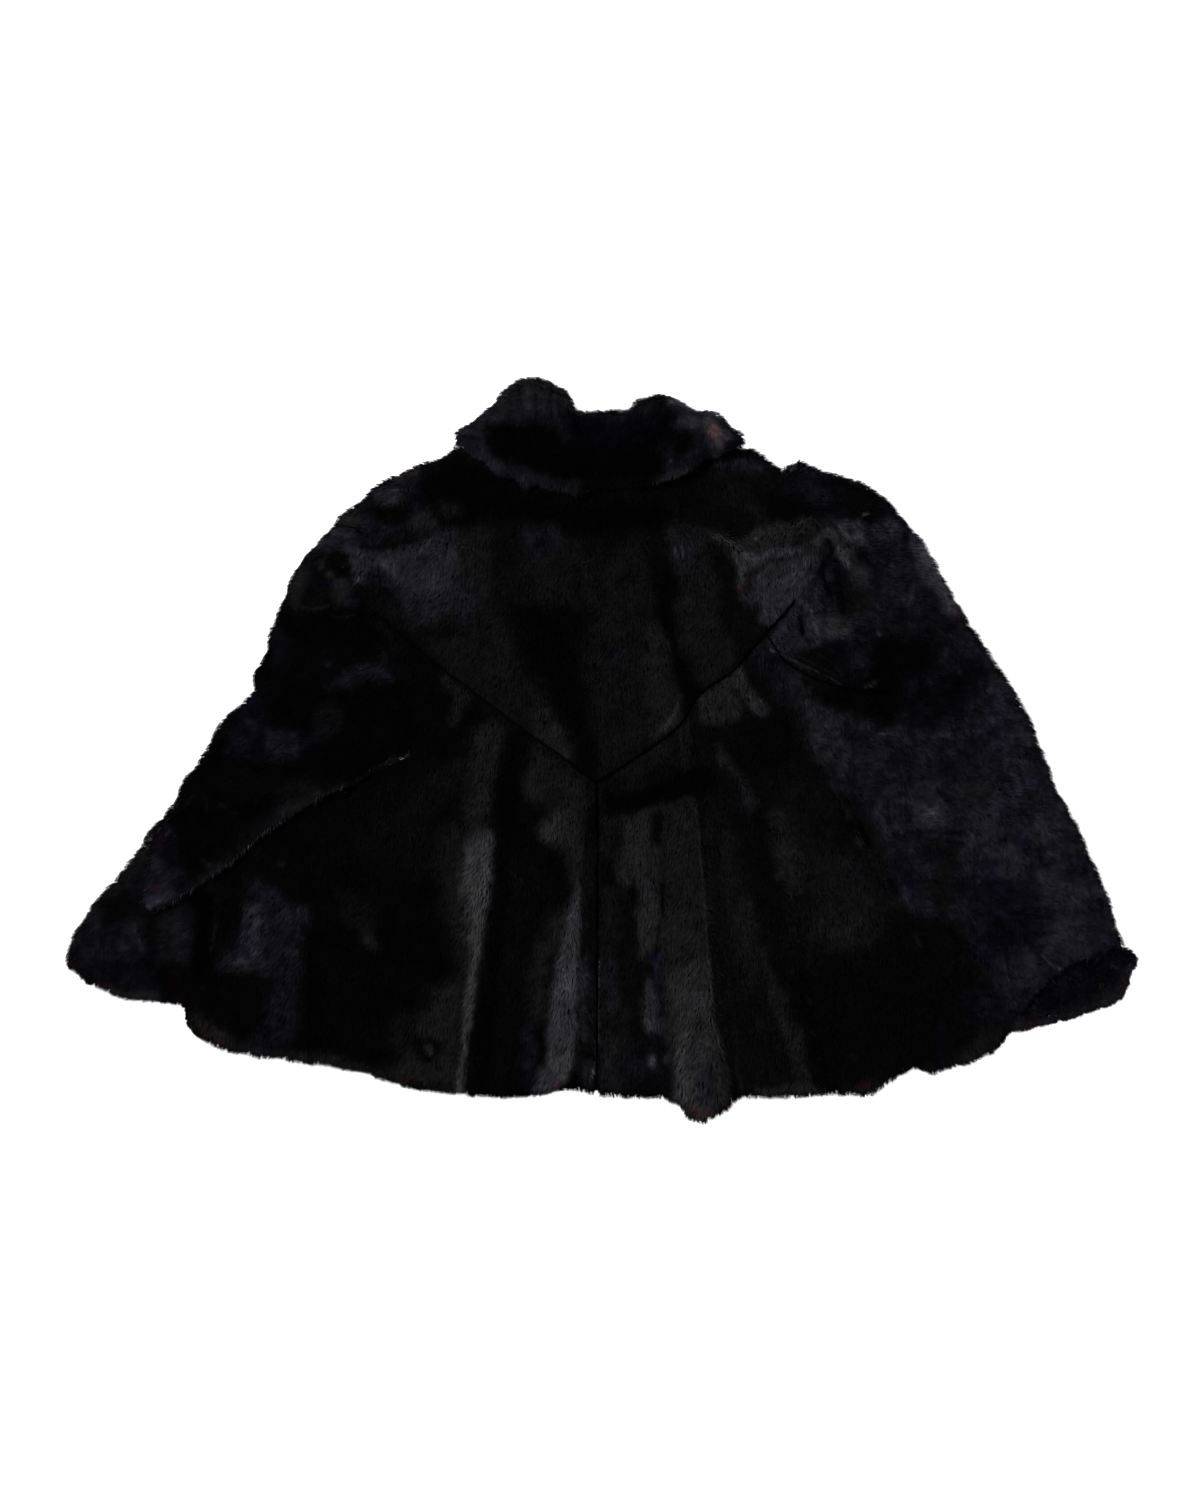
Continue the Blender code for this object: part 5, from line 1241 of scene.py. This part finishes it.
def flat_height(places, fine=True):
    """The upper face of a piece that lies flat underneath."""
    return np.full(len(places), flat_rest) + (0.3 * clouds(places, 40, 5) if fine else 0)


for name, hairs, seed, flat, area, areas, turned_up in (
        ("front_left", 28000, 900, (0.4, 0.54), 0.14, (), 30),
        ("front_right", 30000, 1000, (0.45, 0.54), 0.149, band_nap_and_painted_light, 60)):
    make_piece(name, flat_height, hairs, seed, areas,
               below=True, wide=1.8, turned_up=turned_up)

# ---- The collar ------------------------------------------------------------------------------------------
# One strip of the same fur, folded at its roll: a stand, and a fall turned down over the yoke. Its two front
# ends lie underneath, fur side down.
collar_rest, collar_base = 36.0, 15.0
collar_folds = [
    Fold([(-62, 312)], 9, 9, 56, 56), Fold([(62, 306)], 6, 6, 50, 50), Fold([(-100, 280)], 3, 3, 50, 50),
    Fold([(100, 284)], 4, 4, 46, 46), Fold([(0, 268)], -2, -2, 100, 100),
]
small_collar_folds = [
    Fold([(-104, 262), (-80, 252), (-46, 242), (-14, 240)], 3, 3, 9, 12),
    Fold([(96, 258), (66, 240), (40, 237)], 3, 3, 8, 8),
    Fold([(-40, 264), (10, 258), (60, 266)], -5, -5, 22, 20), Fold([(44, 318)], 4, 4, 12, 12),
    Fold([(72, 312)], 4, 4, 12, 12), Fold([(102, 284)], 4, 4, 14, 14), Fold([(120, 272)], -4, -4, 10, 10),
    Fold([(-114, 288)], 3, 3, 14, 14),
]
# The collar's nap tone with painted light: painted highlights and glints on the lobes that face the lamp, and
# painted shade in the hollow of the fall
collar_nap_and_painted_light = [
    Area([(-140, 340), (140, 340), (140, 225), (-140, 225)], pale, 4, 0.8),
    Area([(-86, 328), (-76, 336), (-45, 334), (-30, 322), (-20, 302), (-38, 292), (-52, 290), (-66, 296),
          (-76, 304), (-92, 304), (-96, 314)], light, 4, 0.3),
    Area([(-68, 300), (-24, 300), (-28, 288), (-60, 288)], faint, 4, 1),
    Area([(-130, 294), (-112, 300), (-98, 306), (-98, 284), (-104, 270), (-130, 272)], light, 4, 0.7),
    Area([(-132, 282), (-116, 284), (-112, 270), (-130, 264)], pale, 4, 0.9),
    Area([(-28, 302), (62, 302), (60, 270), (30, 266), (-28, 268)], shaded, 4, 1.4),
    Area([(-30, 306), (32, 306), (30, 298), (-24, 298)], pale, 3, 0.9),
    Area([(-100, 290), (-70, 292), (-40, 286), (-28, 272), (40, 268), (60, 262), (48, 246), (20, 238),
          (-16, 240), (-60, 250), (-98, 264)], sunk, 4),
    Area([(-104, 264), (-84, 256), (-56, 245), (-14, 239), (-12, 229), (-34, 229), (-50, 227), (-62, 237),
          (-84, 242), (-104, 250)], pale, 2, 0.7),
    Area([(34, 318), (60, 320), (62, 304), (36, 302)], faint, 4, 0.8),
    Area([(58, 318), (88, 310), (90, 302), (62, 306)], glinting, 3, 0.6),
    Area([(62, 292), (76, 300), (90, 294), (84, 284), (72, 283)], glossy, 3, 0.6),
    Area([(90, 304), (106, 304), (108, 296), (92, 296)], silvery, 3, 0.5),
    Area([(88, 293), (102, 294), (116, 280), (112, 274), (104, 262), (97, 264), (98, 276)], silvery, 3, 0.1),
    Area([(62, 286), (80, 284), (78, 262), (64, 264)], shaded, 3),
    Area([(110, 274), (130, 276), (132, 256), (112, 258)], dull, 3, 1.2),
    Area([(58, 262), (96, 268), (104, 258), (80, 246), (60, 248)], mild, 4, 1.1),
    Area([(42, 236), (56, 244), (68, 252), (80, 253), (70, 243), (58, 235)], bright, 2, 0.3),
    Area([(-16, 242), (38, 242), (44, 232), (36, 222), (-14, 222)], shaded, 3),
]
# Streaks of the nap on the fall, and painted highlight lines along its lit lower edge
collar_nap_and_painted_light_lines = [
    NapAndPaintedLightLine([(74, 247), (90, 254), (102, 263)], 1.2, 1.2, 2),
    NapAndPaintedLightLine([(-90, 252), (-60, 240), (-30, 234)], 3, 3, 0.4), NapAndPaintedLightLine([(62, 258)], 2, 2, 2),
    NapAndPaintedLightLine([(-66, 318), (-40, 312)], 1.5, 1.5, 0.5), NapAndPaintedLightLine([(98, 284)], 5, 5, 0.6),
    NapAndPaintedLightLine([(-82, 322), (-80, 306)], 1.2, 1.2, -0.8), NapAndPaintedLightLine([(-74, 328), (-70, 303)], 1.2, 1.2, -0.7),
    NapAndPaintedLightLine([(-67, 332), (-63, 300)], 1, 1, 0.7), NapAndPaintedLightLine([(-60, 333), (-57, 298)], 1.4, 1.4, -0.9),
    NapAndPaintedLightLine([(-53, 332), (-51, 301)], 1, 1, 0.6), NapAndPaintedLightLine([(-46, 330), (-44, 294)], 1.4, 1.4, -0.9),
    NapAndPaintedLightLine([(-39, 324), (-36, 296)], 1.2, 1.2, -0.6), NapAndPaintedLightLine([(-32, 318), (-31, 290)], 1, 1, 0.6),
    NapAndPaintedLightLine([(-20, 304), (-18, 288)], 1.4, 1.4, 0.8), NapAndPaintedLightLine([(-8, 303), (-5, 292)], 1.2, 1.2, 1),
    NapAndPaintedLightLine([(6, 304), (7, 286)], 1.4, 1.4, 0.7), NapAndPaintedLightLine([(20, 305), (19, 292)], 1.2, 1.2, 0.9),
    NapAndPaintedLightLine([(37, 314), (34, 298)], 1.2, 1.2, 0.8), NapAndPaintedLightLine([(50, 318), (47, 301)], 1.4, 1.4, -0.8),
    NapAndPaintedLightLine([(66, 314), (60, 296)], 1.2, 1.2, -0.7), NapAndPaintedLightLine([(78, 309), (70, 290)], 1.4, 1.4, -0.9),
    NapAndPaintedLightLine([(88, 304), (80, 286)], 1.2, 1.2, 0.6), NapAndPaintedLightLine([(100, 298), (90, 276)], 1.2, 1.2, -0.8),
    NapAndPaintedLightLine([(74, 262), (88, 268)], 2, 2, 0.7), NapAndPaintedLightLine([(-122, 290), (-104, 284)], 1.5, 1.5, -0.7),
    NapAndPaintedLightLine([(-126, 281), (-106, 276)], 1.2, 1.2, -0.9), NapAndPaintedLightLine([(-124, 286), (-108, 280)], 1, 1, 0.5),
]


def collar_height(places, fine=True):
    """The upper face of the fall."""
    rise = collar_rest + raised(collar_folds, places)
    if fine:
        rise += raised(small_collar_folds, places) + 1.0 * clouds(places, 26, 3) + 0.5 * clouds(places, 12, 4)
    return rise


make_piece("collar_fall", collar_height, 44000, 1100, collar_nap_and_painted_light,
           collar_nap_and_painted_light_lines, (0, 480), base=collar_base)
for name, seed, flat, area in (("collar_end_left", 1200, (0.09, 0.13), 0.0075),
                               ("collar_end_right", 1300, (0.09, 0.12), 0.007)):
    make_piece(name, flat_height, 6000, seed, collar_nap_and_painted_light[:1], below=True, wide=2.0)
